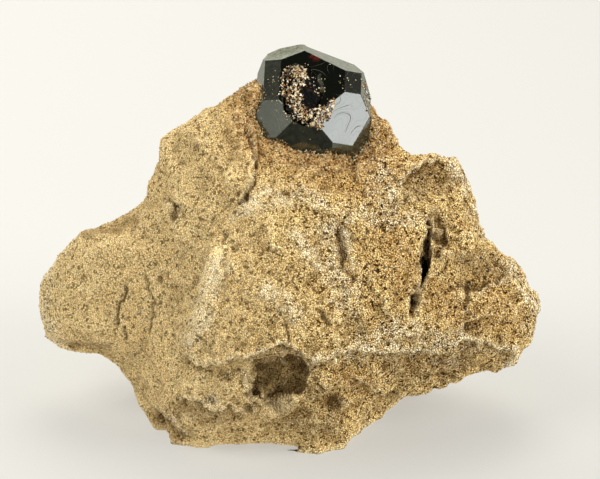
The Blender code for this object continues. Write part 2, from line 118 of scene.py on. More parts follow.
# %% [markdown]
# ## Small helpers
#
# A mesh is made from numpy arrays because a grainy surface has a hundred thousand corners, and Blender
# reads an array in one call. Shader nodes are made with one helper that takes plain values and links
# alike, so that a material can be read from top to bottom like a recipe.

# %% Mesh helpers
def mesh_object(name, corners, triangles, smooth=False):
    """A new object from an array of corners in millimetres and an array of triangles."""
    mesh = bpy.data.meshes.new(name)
    mesh.vertices.add(len(corners))
    mesh.vertices.foreach_set("co", (np.asarray(corners) * MM).astype(np.float32).ravel())
    mesh.loops.add(triangles.size)
    mesh.loops.foreach_set("vertex_index", triangles.astype(np.int32).ravel())
    mesh.polygons.add(len(triangles))
    mesh.polygons.foreach_set("loop_start", np.arange(0, triangles.size, 3, dtype=np.int32))
    mesh.update(calc_edges=True)
    mesh.polygons.foreach_set("use_smooth", np.full(len(triangles), smooth))
    return link(bpy.data.objects.new(name, mesh))


def corners_of(mesh):
    corners = np.empty(len(mesh.vertices) * 3, dtype=np.float32)
    mesh.vertices.foreach_get("co", corners)
    return corners.reshape(-1, 3).astype(float) / MM


def normals_of(mesh):
    normals = np.empty(len(mesh.vertices) * 3, dtype=np.float32)
    mesh.vertex_normals.foreach_get("vector", normals)
    return normals.reshape(-1, 3).astype(float)


def add_mask(mesh, name, values):
    layer = mesh.attributes.new(name, "FLOAT", "POINT")
    layer.data.foreach_set("value", np.asarray(values, dtype=np.float32))


def as_shown(obj):
    """A new mesh of the object as its modifiers leave it."""
    graph = bpy.context.evaluated_depsgraph_get()
    return bpy.data.meshes.new_from_object(obj.evaluated_get(graph))


def ease(low, high, values):
    """0 below low, 1 above high, and a smooth step between them."""
    part = np.clip((np.asarray(values, dtype=float) - low) / (high - low), 0.0, 1.0)
    return part * part * (3.0 - 2.0 * part)


# %% Shader helpers
def feed(tree, made, links):
    """Sets a node's inputs: a plain value is written into the socket, another node's socket is linked."""
    for key, value in links.items():
        if isinstance(value, bpy.types.NodeSocket):
            tree.links.new(value, made.inputs[key])
        else:
            made.inputs[key].default_value = value


def node(tree, kind, links=None, **settings):
    """A shader node: links holds values or sockets by input name, settings are the node's own."""
    made = tree.nodes.new("ShaderNode" + kind)
    for key, value in settings.items():
        setattr(made, key, value)
    feed(tree, made, links or {})
    return made


def blend_colours(tree, factor, first, second, how="MIX"):
    made = node(tree, "Mix", {0: factor, 6: first, 7: second}, data_type="RGBA", blend_type=how)
    return made.outputs[2]


def maths(tree, how, first, second=0.0, clamp=False):
    return node(tree, "Math", {0: first, 1: second}, operation=how, use_clamp=clamp).outputs[0]


def times(tree, first, second):
    return maths(tree, "MULTIPLY", first, second)


def clouds(tree, place, scale, detail, roughness=0.5):
    """Soft noise about 0.5; scale is how many blobs lie on a millimetre."""
    made = node(tree, "TexNoise", {"Vector": place, "Scale": scale, "Detail": detail, "Roughness": roughness})
    return made.outputs["Fac"]


def spread(tree, value, low, high, to_low=0.0, to_high=1.0):
    """The value moved from one range to another, and kept inside it."""
    return node(tree, "MapRange", {
        "Value": value, "From Min": low, "From Max": high, "To Min": to_low, "To Max": to_high}).outputs[0]


def mask_of(tree, name):
    return node(tree, "Attribute", attribute_name=name).outputs["Fac"]


def place_in_mm(tree):
    place = node(tree, "TexCoord").outputs["Object"]
    return node(tree, "VectorMath", {0: place, "Scale": 1 / MM}, operation="SCALE").outputs[0]


def new_material(name):
    material = bpy.data.materials.new(name)
    material.use_nodes = True
    tree = material.node_tree
    tree.nodes.clear()
    shader = tree.nodes.new("ShaderNodeBsdfPrincipled")
    out = tree.nodes.new("ShaderNodeOutputMaterial")
    tree.links.new(shader.outputs[0], out.inputs["Surface"])
    return material, tree, shader


def dress(tree, shader, colour, height, strength, depth):
    """Links a colour, and a bump that a height of 1 raises by depth in millimetres."""
    bump = node(tree, "Bump", {"Height": height, "Strength": strength, "Distance": depth * MM})
    tree.links.new(colour, shader.inputs["Base Color"])
    tree.links.new(bump.outputs[0], shader.inputs["Normal"])


def new_group(name, takes, gives):
    """A shader node group with named inputs {name: (kind, default)} and outputs {name: kind}."""
    group = bpy.data.node_groups.new(name, "ShaderNodeTree")
    for title, (kind, default) in takes.items():
        socket = group.interface.new_socket(title, in_out="INPUT", socket_type="NodeSocket" + kind)
        if default is not None:
            socket.default_value = default
    for title, kind in gives.items():
        group.interface.new_socket(title, in_out="OUTPUT", socket_type="NodeSocket" + kind)
    return group, group.nodes.new("NodeGroupInput").outputs, group.nodes.new("NodeGroupOutput").inputs


def use_group(tree, group, links):
    made = tree.nodes.new("ShaderNodeGroup")
    made.node_tree = group
    feed(tree, made, links)
    return made.outputs


# %% [markdown]
# ## Effects that several finishes share
#
# The rock and the lining of the pocket are both made of small grains, so one node group gives the grain: a
# value for each grain, the dark gaps between grains, and a height for the bump. A second group gives dust,
# small pale specks that lie in patches on a surface. A group puts out only masks and heights, and each
# material turns them into its own colours, so that the same grain can be cream here and black there.

# %% Grain and dust node groups
GRAIN_BEND = 0.35                            # how far noise bends the grid of cells, so that no two match


def make_grain_group():
    group, take, give = new_group(
        "mineral grain",
        {"Place": ("Vector", None), "Grain Size": ("Float", 0.3), "Gap Width": ("Float", 0.12)},
        {"Tone": "Float", "Gap": "Float", "Height": "Float"})
    per_mm = maths(group, "DIVIDE", 1.0, take["Grain Size"])
    bent = node(group, "TexNoise", {"Vector": take["Place"], "Scale": 2.4, "Detail": 1.0}).outputs["Color"]
    bent = node(group, "VectorMath", {0: bent, "Scale": GRAIN_BEND}, operation="SCALE").outputs[0]
    place = node(group, "VectorMath", {0: take["Place"], 1: bent}, operation="ADD").outputs[0]
    cells = node(group, "TexVoronoi", {"Vector": place, "Scale": per_mm}).outputs
    edges = node(group, "TexVoronoi", {"Vector": place, "Scale": per_mm}, feature="DISTANCE_TO_EDGE").outputs
    tone = node(group, "SeparateColor", {0: cells["Color"]}).outputs[0]
    gap = maths(group, "SUBTRACT", 1.0, maths(group, "DIVIDE", edges["Distance"], take["Gap Width"]), True)
    height = maths(group, "SUBTRACT", 1.0, cells["Distance"], True)
    group.links.new(tone, give["Tone"])
    group.links.new(gap, give["Gap"])
    group.links.new(height, give["Height"])
    return group


def make_dust_group():
    group, take, give = new_group(
        "dust specks",
        {"Place": ("Vector", None), "Speck Size": ("Float", 0.25), "Amount": ("Float", 0.2),
         "Patch Size": ("Float", 2.0)},
        {"Mask": "Float"})
    per_mm = maths(group, "DIVIDE", 1.0, take["Speck Size"])
    specks = node(group, "TexVoronoi", {"Vector": take["Place"], "Scale": per_mm}).outputs
    drawn = node(group, "SeparateColor", {0: specks["Color"]}).outputs[1]
    patches = clouds(group, take["Place"], maths(group, "DIVIDE", 1.0, take["Patch Size"]), 2.0)
    chance = times(group, take["Amount"], spread(group, patches, 0.38, 0.68, 0.0, 2.0))
    kept = maths(group, "LESS_THAN", drawn, chance)
    round_off = spread(group, specks["Distance"], 0.25, 0.45, 1.0, 0.0)
    group.links.new(times(group, kept, round_off), give["Mask"])
    return group


grain_group = make_grain_group()
dust_group = make_dust_group()
print("node groups:", grain_group.name, "and", dust_group.name)

# %% [markdown]
# ## Marks on the rock
#
# Cracks, broken steps, bruises and stains are where they are on this one lump, so they are listed as short
# lines of the display view, in millimetres across and up. There are two ways to bring them to the
# stone. A line of sight through each point finds the rock behind it, and the mark is then a line in space
# that lies on the stone: narrow cracks are made so. Or each corner of the surface is asked where it shows
# in the display view, and how far that is from the mark: steps, ridges, hollows and bands of colour are
# made so. Painting them into a picture would be quicker, but such a picture fits one mesh only and says
# nothing about what it shows.

# %% Where the marks are
CRACKS = {                                   # (across, up) points, half width, depth
    "step beside the left plane": ([(-4.4, 29.4), (-3.5, 26.6), (-3.6, 23.8), (-4.9, 21.9), (-5.2, 21.5)],
        0.22, 0.45),
    "crevice": ([(15.2, 19.4), (15.1, 17.7), (14.9, 15.8), (14.7, 13.9), (14.2, 12.3), (13.8, 11.0),
        (13.4, 9.6)], 0.34, 1.40),
    "foot of the crevice": ([(14.45, 13.1), (14.3, 12.6), (14.1, 12.0), (13.8, 11.0)], 0.34, 1.20),
    "left lobe, outer": ([(-17.4, 12.5), (-18.3, 10.5), (-18.4, 9.1), (-18.5, 8.4)], 0.16, 0.40),
    "left lobe, inner": ([(-15.2, 13.7), (-14.5, 10.9), (-14.8, 7.7)], 0.16, 0.35),
    "left lobe, low": ([(-17.8, 8.2), (-17.5, 6.8)], 0.14, 0.35),
    "over the ledge": ([(-0.2, 8.5), (0.1, 6.9)], 0.14, 0.35),
    "middle groove": ([(5.4, 18.2), (6.2, 14.5), (7.3, 13.4)], 0.30, 0.35),
    "slanting groove": ([(3.2, 10.2), (4.5, 8.5)], 0.22, 0.35),
    "in the foot": ([(2.9, 2.6), (3.9, 1.5)], 0.18, 0.40),
    "right groove": ([(19.4, 12.9), (19.3, 10.6), (19.4, 8.4)], 0.30, 0.45),
    "edge of the hollow": ([(-3.9, 5.0), (-4.0, 2.3), (-4.2, 1.2), (-4.0, 0.3)], 0.20, 0.30),
}
PITS = {                                     # (across, up), radius, depth
    "lobe pit": ((-13.9, 13.3), 0.5, 0.4),
    "foot pit": ((5.7, -2.1), 0.5, 0.5),
    "foot recess": ((4.9, 0.0), 1.0, 0.7),
    "lobe hollow": ((22.6, 14.5), 1.0, 0.6),
}
STEPS = {                                    # marks, high side on their left; drop, reach up, reach down
    "lower lip": ([(-11.5, 5.5), (-10.3, 4.6), (-9.1, 4.1), (-7.3, 4.2), (-5.5, 4.8), (-3.7, 5.1),
        (-1.9, 5.8), (-0.1, 6.4), (1.0, 5.6), (2.7, 4.5), (4.3, 4.8), (6.4, 5.6), (8.6, 5.4), (12.7, 5.6),
        (16.5, 5.2), (17.8, 5.0)], 1.0, 1.4, 3.0),
    "end of the lip": ([(17.8, 5.0), (18.8, 6.8), (20.8, 6.6), (22.9, 5.8), (24.6, 5.6)], 0.7, 1.0, 2.0),
    "left plane's edge": ([(-5.4, 21.4), (-4.3, 22.9), (-3.6, 24.4), (-3.4, 25.8), (-3.5, 27.4),
        (-3.6, 29.8), (-3.6, 32.4)], 0.7, 0.8, 1.8),
    "lobe face": ([(24.5, 14.1), (22.5, 13.2), (20.8, 12.2), (19.8, 11.2)], 0.6, 1.0, 1.6),
    "lower left block": ([(-14.9, 0.0), (-13.5, -1.1), (-12.4, -2.2), (-11.4, -3.0),
        (-10.5, -3.9)], 0.9, 0.9, 3.0),
    "fold in the foot": ([(-12.1, 0.5), (-10.5, 0.4), (-9.1, -0.4), (-7.9, -1.0), (-6.4, -0.4),
        (-5.1, -0.9), (-3.8, -1.5)], 0.6, 1.0, 2.0),
    "left wall of the hollow": ([(-3.1, -1.5), (-3.8, 0.6), (-4.2, 1.7), (-4.4, 4.3)], 0.8, 0.6, 2.2),
    "right plate": ([(6.3, 2.8), (8.0, 2.2), (9.4, 1.3), (11.0, 0.5)], 0.5, 1.2, 1.4),
    "left rim of the scoop": ([(12.6, 22.5), (12.4, 23.8), (13.1, 25.1), (14.5, 25.8), (16.5, 26.1),
        (18.2, 25.5)], 0.7, 0.8, 2.6),
    "chip on the front": ([(-2.1, 17.7), (-1.6, 16.6), (-0.2, 16.7)], 0.4, 0.7, 1.0),
    "chip by the ridge": ([(-6.3, 16.4), (-6.9, 15.3), (-6.3, 14.3)], 0.4, 0.7, 1.0),
    "plane scar": ([(-11.0, 19.4), (-11.8, 20.8), (-12.9, 21.8), (-14.2, 21.6)], 0.5, 0.8, 1.2),
    "right fold": ([(7.0, 20.7), (5.7, 18.6), (6.2, 16.4), (7.0, 14.5)], 0.5, 0.8, 1.4),
}
RIDGES = {                                   # marks, half width, height
    "bruised ridge": ([(-4.1, 22.0), (-6.1, 20.3), (-7.6, 18.3), (-7.9, 15.0), (-8.3, 13.1), (-10.1, 9.1),
        (-11.2, 6.0)], 1.3, 0.3),
    "rim of the right lobe": ([(22.9, 14.7), (25.1, 13.0), (26.2, 11.4), (26.0, 9.3)], 0.9, 0.3),
}
HOLLOWS = {                                  # marks all round, depth; a fill has a depth below 0
    "under the lip": ([(-3.8, 4.3), (-1.9, 5.2), (-0.1, 5.8), (1.3, 5.1), (2.6, 4.1), (3.4, 2.6),
        (3.7, 0.9), (2.2, 0.2), (0.3, 0.5), (-1.9, -0.5), (-3.4, -0.6), (-4.1, 1.1), (-4.3, 2.9)], 1.3),
    "fill, lower left": ([(-4.1, 2.4), (-2.8, 2.8), (-1.3, 1.7), (-1.5, 0.2), (-3.2, -0.4),
        (-4.2, 0.6)], -1.2),
    "fill, right": ([(0.7, 4.1), (2.6, 3.7), (3.1, 1.3), (1.3, 0.2), (0.0, 1.3)], -1.2),
    "right of the crevice": ([(15.4, 20.5), (16.6, 21.2), (17.4, 19.7), (17.5, 17.5), (16.9, 15.9),
        (15.9, 14.9), (15.4, 16.6)], 0.6),
    "fill, bottom": ([(-4.5, 2.2), (-2.6, 2.9), (-0.8, 2.4), (1.2, 1.9), (2.4, 0.7), (0.9, -1.3),
        (-1.6, -1.9), (-4.1, -1.6)], -1.5),
    "scoop": ([(13.2, 24.2), (14.5, 25.2), (16.5, 25.5), (18.1, 24.8), (17.9, 23.1), (16.5, 22.4),
        (14.4, 22.5)], 0.5),
    "beside the lobe": ([(19.7, 15.6), (21.6, 16.0), (23.5, 14.7), (22.4, 13.8), (20.3, 12.7),
        (19.5, 13.4)], 0.5),
}
PALE_LINES = {                               # marks, half width of a greyish white band: bruised stone, and a painted highlight on lit rims
    "top of the ridge": ([(-2.5, 22.5), (-4.1, 21.4), (-5.6, 20.4)], 0.8),
    "foot of the ridge": ([(-7.9, 14.7), (-8.2, 12.5), (-9.5, 9.5), (-10.6, 6.5)], 1.1),
    "upper band": ([(-4.1, 21.2), (-1.4, 22.2), (1.3, 22.5), (4.0, 21.9)], 0.9),
    "upper front": ([(6.2, 20.4), (8.0, 20.7), (9.8, 19.7), (11.9, 20.5), (13.9, 19.7)], 0.9),
    "right, upper": ([(10.1, 24.6), (10.9, 21.2)], 1.6),
    "middle front": ([(4.6, 19.3), (5.2, 16.6), (5.8, 13.9), (6.2, 11.2)], 1.5),
    "beside the middle": ([(1.3, 17.7), (3.3, 15.3), (6.2, 15.3)], 1.1),
    "front, low": ([(-2.1, 12.1), (0.9, 9.5)], 1.1),
    "white shelf": ([(7.0, 5.6), (9.4, 7.2), (12.1, 7.9), (14.8, 7.1), (17.0, 6.3), (18.8, 7.1)], 1.2),
    "lip": ([(2.7, 4.5), (5.4, 5.2), (8.9, 5.5), (12.7, 5.8), (16.5, 5.1), (17.8, 4.5)], 0.6),
    "corner of the shelf": ([(20.8, 6.4), (22.9, 5.7), (24.6, 5.5), (23.8, 4.1)], 0.6),
    "lobe rim": ([(23.5, 15.1), (25.5, 13.0), (26.7, 10.4), (26.3, 7.8)], 0.8),
    "shoulder rim": ([(17.5, 26.1), (19.5, 23.3), (20.3, 20.5), (21.0, 18.4)], 0.7),
    "left lobe end": ([(-24.4, 18.1), (-25.9, 15.3), (-26.4, 12.3), (-26.3, 9.3), (-24.8, 6.7)], 0.9),
    "foot spot": ([(-8.2, 0.2), (-7.4, -0.4)], 0.7),
}
BROWN_AND_SHADE_LINES = {                              # the same for deep brown: mostly painted shade under ledges and in hollows, a few brown spots
    "in the scoop": ([(13.8, 23.5), (15.6, 24.6), (17.3, 24.0)], 1.7),
    "right of the crevice": ([(15.8, 20.3), (16.9, 18.6), (16.5, 16.0)], 0.9),
    "above the lobe": ([(19.5, 15.3), (21.4, 15.3), (22.9, 14.3)], 1.2),
    "spot by the lobe": ([(19.2, 12.5), (19.3, 11.9)], 0.7),
    "under the shelf": ([(11.3, 4.1), (14.3, 3.7), (17.8, 3.9), (19.7, 5.6)], 1.2),
    "under the lip": ([(-2.8, 4.5), (-0.3, 5.0), (1.7, 4.1)], 1.1),
    "lower left block": ([(-13.8, -1.7), (-12.1, -3.2)], 1.3),
    "fold in the foot": ([(-11.4, -0.4), (-9.1, -1.5), (-6.8, -1.3)], 1.0),
    "foot recess": ([(3.3, 0.6), (5.2, 0.0), (4.6, -1.5)], 1.0),
    "left of the patch": ([(5.7, 18.6), (6.3, 17.1)], 0.8),
    "low front": ([(6.7, 9.5), (8.0, 8.0)], 0.9),
    "along the crevice": ([(15.2, 19.8), (15.1, 17.7), (14.9, 15.8), (14.7, 13.9), (14.2, 12.3),
        (13.7, 10.8)], 0.45),
    "under the left lobe": ([(-23.3, 6.3), (-21.4, 6.5), (-19.7, 5.9)], 0.5),
    "on the left lobe": ([(-22.3, 18.5), (-19.5, 18.9), (-16.6, 19.7)], 0.6),
    "left of the crystal": ([(-4.7, 33.4), (-4.3, 30.5), (-3.6, 28.6)], 0.4),
    "beside the lobe, deep": ([(20.6, 14.7), (22.6, 14.4), (23.7, 13.7)], 0.9),
    "foot, low": ([(-0.6, -0.4), (3.8, -2.4)], 1.5),
}
STAIN_LINES = {                              # and for the orange stain of iron
    "left of the crevice": ([(11.6, 17.7), (12.6, 15.3), (13.4, 12.9)], 1.8),
    "below the crevice": ([(15.4, 12.3), (17.5, 10.2), (19.7, 8.9)], 1.8),
    "right lobe": ([(22.1, 11.2), (23.5, 9.1)], 2.0),
    "right of the crystal": ([(9.4, 29.6), (11.1, 26.4), (11.6, 25.6)], 1.5),
    "under the crystal": ([(-3.2, 27.4), (0.3, 25.5), (4.6, 25.1), (8.0, 25.5)], 1.3),
    "upper front": ([(1.3, 24.0), (5.7, 23.5), (9.1, 23.1)], 1.4),
    "foot": ([(5.7, 3.2), (8.4, 2.2)], 1.2),
}


def seen_at(places):
    """Where places show in the display view: across and up, as on the plane through the mark origin."""
    ways = places - np.array(eye)
    depth = -ways @ np.array(TOWARDS)
    scale = DISTANCE / depth
    return AIM[0] + ways @ np.array(RIGHT) * scale, AIM[1] + ways @ np.array(UPWARD) * scale


END_FADE = 1.2                               # a step or ridge fades over this length at its ends


def side_of_line(across, up, marks):
    """Distance to a line of marks, above 0 on its left, and a factor that falls to 0 at its ends."""
    best = np.full(len(across), np.inf)
    side = np.zeros(len(across))
    along = np.zeros(len(across))
    passed = 0.0
    for (x0, y0), (x1, y1) in zip(marks, marks[1:]):
        dx, dy = x1 - x0, y1 - y0
        length = math.hypot(dx, dy)
        part = np.clip(((across - x0) * dx + (up - y0) * dy) / length ** 2, 0.0, 1.0)
        away = np.hypot(across - x0 - part * dx, up - y0 - part * dy)
        nearer = away < best
        best = np.where(nearer, away, best)
        side = np.where(nearer, np.sign(dx * (up - y0) - dy * (across - x0)), side)
        along = np.where(nearer, passed + part * length, along)
        passed += length
    return best * side, ease(0.0, END_FADE, along) * ease(0.0, END_FADE, passed - along)


def inside_marks(across, up, marks):
    """Distance inwards from the nearest edge of a closed ring of marks, 0 outside it."""
    within = np.zeros(len(across), dtype=bool)
    away = np.full(len(across), np.inf)
    for (x0, y0), (x1, y1) in zip(marks, marks[1:] + marks[:1]):
        dx, dy = x1 - x0, y1 - y0
        crosses = (y0 > up) != (y1 > up)
        within ^= crosses & (across < x0 + (up - y0) * dx / (dy if dy else 1e-9))
        part = np.clip(((across - x0) * dx + (up - y0) * dy) / (dx * dx + dy * dy), 0.0, 1.0)
        away = np.minimum(away, np.hypot(across - x0 - part * dx, up - y0 - part * dy))
    return np.where(within, away, 0.0)


def rock_behind(tree, across, up):
    """The point of the rock that shows at a place of the display view."""
    through = display_point(across, up, 0.0)
    return tree.ray_cast(eye, (through - eye).normalized())[0]


WIGGLE = 0.35                                # how far a line of marks strays, since no crack is straight


def line_on_rock(tree, marks, step=0.12):
    """Closely spaced points of the rock behind a line of marks."""
    found = []
    for (x0, y0), (x1, y1) in zip(marks, marks[1:]):
        count = max(2, round(math.hypot(x1 - x0, y1 - y0) / step))
        for index in range(count + 1):
            part = index / count
            wiggle = WIGGLE * noise.noise(Vector((x0 + x1 + part * 4, y0 * 3, 0.5)))
            hit = rock_behind(tree, x0 + (x1 - x0) * part + wiggle, y0 + (y1 - y0) * part)
            if hit is not None:
                found.append(hit)
    return found


def tree_of(points):
    tree = KDTree(len(points))
    for index, point in enumerate(points):
        tree.insert(point, index)
    tree.balance()
    return tree


def distance_to(points, corners):
    """From each corner to the nearest of the points."""
    tree = tree_of(points)
    return np.array([tree.find(corner)[2] for corner in corners])


print("marks:", len(CRACKS), "cracks,", len(PITS), "pits,", len(STEPS), "steps,", len(RIDGES), "ridges,",
      len(HOLLOWS), "hollows and fills,", len(PALE_LINES) + len(BROWN_AND_SHADE_LINES) + len(STAIN_LINES), "bands")


# %% [markdown]
# ## The rock
#
# The matrix is an altered, fine-grained lava. It broke along uneven surfaces, so from close by it is all
# small steps, pits and grains, with no smooth place on it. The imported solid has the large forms. Here it
# is copied, rebuilt as an even fine grid with a voxel Remesh, and smoothed so that the solid's own facets
# go. Then it is pushed in and out: by noise of several sizes, by scars where chips broke off, by small
# pocks, and by the marks of the last cell. Real displacement is chosen over a bump map down to about a
# third of a millimetre, because light and outline only look right on a surface that is there. The left
# side of this lump is calmer than the right, so one factor makes the unevenness grow from left to right.

# %% An even, fine grid
GRID = 0.20
SOFTEN_ROUNDS = 3


def copy_of_node(name, source):
    copy = link(bpy.data.objects.new(name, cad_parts[source].data.copy()))
    weld = copy.modifiers.new("weld", "WELD")
    weld.merge_threshold = 1e-6
    return copy


draft = copy_of_node("rock_draft", "matrix")
remesh = draft.modifiers.new("grid", "REMESH")
remesh.mode = "VOXEL"
remesh.voxel_size = GRID * MM
soften = draft.modifiers.new("soften", "SMOOTH")
soften.factor = 0.5
soften.iterations = SOFTEN_ROUNDS
grid = as_shown(draft)
bpy.data.objects.remove(draft)
corners = corners_of(grid)
normals = normals_of(grid)
print("rock grid:", len(corners), "corners")

# %% Distances that steer the surface
def bvh_of(mesh):
    """A tree for rays and nearest points, in millimetres."""
    tree_mesh = bmesh.new()
    tree_mesh.from_mesh(mesh)
    bmesh.ops.scale(tree_mesh, vec=(1 / MM,) * 3, verts=tree_mesh.verts)
    tree = BVHTree.FromBMesh(tree_mesh)
    tree_mesh.free()
    return tree


matrix_tree = bvh_of(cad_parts["matrix"].data)
garnet_tree = bvh_of(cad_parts["garnet"].data)
crack_points = {name: line_on_rock(matrix_tree, marks) for name, (marks, _, _) in CRACKS.items()}


GARNET_REACH = 8.0                           # no distance to the crystal is measured past this
GARNET_ROUND = 8.0                           # the crystal lies well inside this distance of its middle


def distance_to_garnet(places):
    """From each place to the crystal, no more than GARNET_REACH."""
    found = np.full(len(places), GARNET_REACH)
    near = np.linalg.norm(places - np.array(garnet_middle), axis=1) < GARNET_REACH + GARNET_ROUND
    for index in np.flatnonzero(near):
        hit = garnet_tree.find_nearest(Vector(places[index]), GARNET_REACH)
        if hit[0] is not None:
            found[index] = hit[3]
    return found


def noise_over(places, size, seed=0.0):
    shift = Vector((seed * 7.3, seed * 3.1, seed * 5.7))
    return np.array([noise.noise(Vector(place) / size + shift) for place in places])


# %% Push the surface in and out
LUMPS = ((3.2, 0.26), (1.2, 0.13), (0.55, 0.11))   # (size, height) of each scale of unevenness
SCARS = ((3.2, 0.60), (1.3, 0.22))           # (spacing, depth) of the shallow scars that chips left
GRIT = 0.055                                 # how far single grains stand in or out, at the grid's own size
CALM_SIDE = (-13.0, -4.0)                    # left of this the surface is calmer
CALM = 0.40
COARSE_SIDE = (4.0, 14.0)                    # and right of this it is coarser
COARSE = 1.30
POCK_COUNT = 1500
POCK_RADIUS = (0.16, 0.36)
POCK_DEPTH = 0.80                            # of its radius
STEP_ABOVE = 0.35                            # of a step's drop, how much its rim rises
STEP_BELOW = 0.65                            # and how much the surface under it sinks
STEP_EDGE = 0.14                             # half the width of the step itself
HOLLOW_EDGE = 2.0                            # a hollow has its full depth this far in from its marks
SOCKET_CALM = 0.8                            # how much less the surface moves where it meets the crystal
BASE_KEPT = 0.25                             # the flat face it stands on stays as it is
FLOOR_GAP = 0.01                             # and nothing comes nearer to the floor than this


def chip_scars(places, spacing, depth, seed):
    """Shallow bowls that meet in sharp ridges, as where flakes broke off."""
    draw = random.Random(seed)
    count = round(len(places) * (GRID / spacing) ** 2)
    middles = [Vector(places[draw.randrange(len(places))]) for _ in range(count)]
    heights = [draw.uniform(-0.5, 0.5) * depth for _ in middles]
    tilts = [Vector([draw.uniform(-0.5, 0.5) * depth / spacing for _ in range(3)]) for _ in middles]
    tree = tree_of(middles)
    bowl = 0.9 * depth / spacing ** 2
    found = np.empty(len(places))
    for index, place in enumerate(map(Vector, places)):
        found[index] = min(
            heights[which] + tilts[which].dot(place - middle) + bowl * away * away
            for middle, which, away in tree.find_n(place, 3))
    return found


def pocks(places, count, seed):
    """Small holes where gas bubbles and softer grains fell out."""
    draw = random.Random(seed)
    tree = tree_of(places)
    depth = np.zeros(len(places))
    for _ in range(count):
        middle = places[draw.randrange(len(places))]
        radius = POCK_RADIUS[0] + (POCK_RADIUS[1] - POCK_RADIUS[0]) * draw.random() ** 3
        for _, index, away in tree.find_range(middle, radius):
            depth[index] = max(depth[index], radius * POCK_DEPTH * (1.0 - (away / radius) ** 2))
    return depth


def step_ragged(places):
    return 0.40 * noise_over(places, 0.9, 2.0) + 0.22 * noise_over(places, 0.4, 3.0)


def drawn_forms(places, facing):
    """The steps, ridges and hollows of the display side, with ragged edges."""
    across, up = seen_at(places)
    ragged = step_ragged(places)
    height = np.zeros(len(places))
    for marks, drop, reach_up, reach_down in STEPS.values():
        side, kept = side_of_line(across, up, marks)
        side = side + ragged
        above = STEP_ABOVE * (1.0 - ease(0.0, reach_up, side))
        below = -STEP_BELOW * (1.0 - ease(0.0, reach_down, -side))
        crossing = ease(-STEP_EDGE, STEP_EDGE, side)
        height += drop * kept * (above * crossing + below * (1.0 - crossing))
    for marks, half_width, rise in RIDGES.values():
        side, kept = side_of_line(across, up, marks)
        height += rise * kept * np.clip(1.0 - np.abs(side + 0.5 * ragged) / half_width, 0.0, 1.0)
    for marks, depth in HOLLOWS.values():
        height -= depth * ease(0.0, HOLLOW_EDGE, inside_marks(across + ragged, up + 0.5 * ragged, marks))
    front = ease(0.05, 0.35, facing @ np.array(TOWARDS))
    return height * front


def rock_heights(places, facing, garnet_gap):
    lively = CALM + (1.0 - CALM) * ease(*CALM_SIDE, places[:, 0])
    lively = lively * (1.0 + (COARSE - 1.0) * ease(*COARSE_SIDE, places[:, 0]))
    height = sum(amount * noise_over(places, size, size) for size, amount in LUMPS)
    height += sum(chip_scars(places, spacing, depth, 11) for spacing, depth in SCARS)
    height += GRIT * np.random.default_rng(3).uniform(-1.0, 1.0, len(places))
    height = height * lively - pocks(places, POCK_COUNT, 5) * lively
    height += drawn_forms(places, facing)
    for name, (_, half_width, depth) in CRACKS.items():
        away = distance_to(crack_points[name], places)
        height -= depth * (1.0 - ease(half_width * 0.4, half_width * 1.6, away))
    for (across, up), radius, depth in PITS.values():
        middle = rock_behind(matrix_tree, across, up)
        away = np.linalg.norm(places - np.array(middle), axis=1) / radius
        height -= depth * (1.0 - ease(0.2, 1.3, away + 0.3 * noise_over(places, 0.8, 4.0)))
    socket = 1.0 - ease(0.35, 1.2, garnet_gap)
    return height * (1.0 - SOCKET_CALM * socket)


garnet_gap = distance_to_garnet(corners)
heights = rock_heights(corners, normals, garnet_gap)
base = ease(BASE_KEPT, BASE_KEPT * 5, corners[:, 2])
moved = corners + normals * (heights * base)[:, None]
moved[:, 2] = np.maximum(moved[:, 2], FLOOR_GAP)
moved[corners[:, 2] < BASE_KEPT, 2] = FLOOR_GAP
grid.vertices.foreach_set("co", (moved * MM).astype(np.float32).ravel())
grid.update()
print("surface moved by", round(heights.min(), 2), "to", round(heights.max(), 2), "mm")

# %% Keep the faces where the detail is
ROCK_TRIANGLES = 194000
rock = link(bpy.data.objects.new("rock", grid))
fewer = rock.modifiers.new("fewer faces", "DECIMATE")
fewer.use_collapse_triangulate = True
fewer.ratio = ROCK_TRIANGLES / (2 * len(grid.polygons))
rock.data = as_shown(rock)
rock.modifiers.clear()
rock.data.polygons.foreach_set("use_smooth", np.ones(len(rock.data.polygons), dtype=bool))
print("rock:", len(rock.data.polygons), "triangles")

# %% [markdown]
# ## Where the rock changes colour
#
# Much of the light and shade on this stone is painted into its colour, and follows the shape: painted shade
# in creases, cracks and under ledges, pale edges that are partly bruise and partly painted highlight, and
# raised parts painted lighter than what lies back. So most masks are measured on the mesh: the crease of
# each corner against its neighbours, its relief against a smoothed copy of the surface, and how closed in it
# is, which is the share of short rays that meet the rock again. The rest come from the marks: the rim and
# the underside of each step, the cracks, and the bands of pale, of brown and painted shade, and of orange.
# Each mask is a number on every corner, stored in the mesh, which the material reads by its name.

# %% Masks measured on the mesh
def crease_of(mesh):
    """How far each corner lies below the middle of its neighbours: above 0 in hollows, below 0 on edges."""
    places, facing = corners_of(mesh), normals_of(mesh)
    ends = np.empty(len(mesh.edges) * 2, dtype=np.int32)
    mesh.edges.foreach_get("vertices", ends)
    ends = ends.reshape(-1, 2)
    total, count = np.zeros_like(places), np.zeros(len(places))
    for one, other in (ends.T, ends.T[::-1]):
        np.add.at(total, one, places[other])
        np.add.at(count, one, 1.0)
    crease = np.einsum("ij,ij->i", total / count[:, None] - places, facing)
    for _ in range(2):
        spread_out = np.zeros(len(places))
        for one, other in (ends.T, ends.T[::-1]):
            np.add.at(spread_out, one, crease[other])
        crease = 0.5 * crease + 0.5 * spread_out / count
    return crease


SHELTER_RAYS = 10
SHELTER_REACH = 5.0
SHELTER_LIFT = 0.12                          # a ray starts this far off the surface
SHELTER_OPEN = 0.95                          # how far rays spread from the straight way out


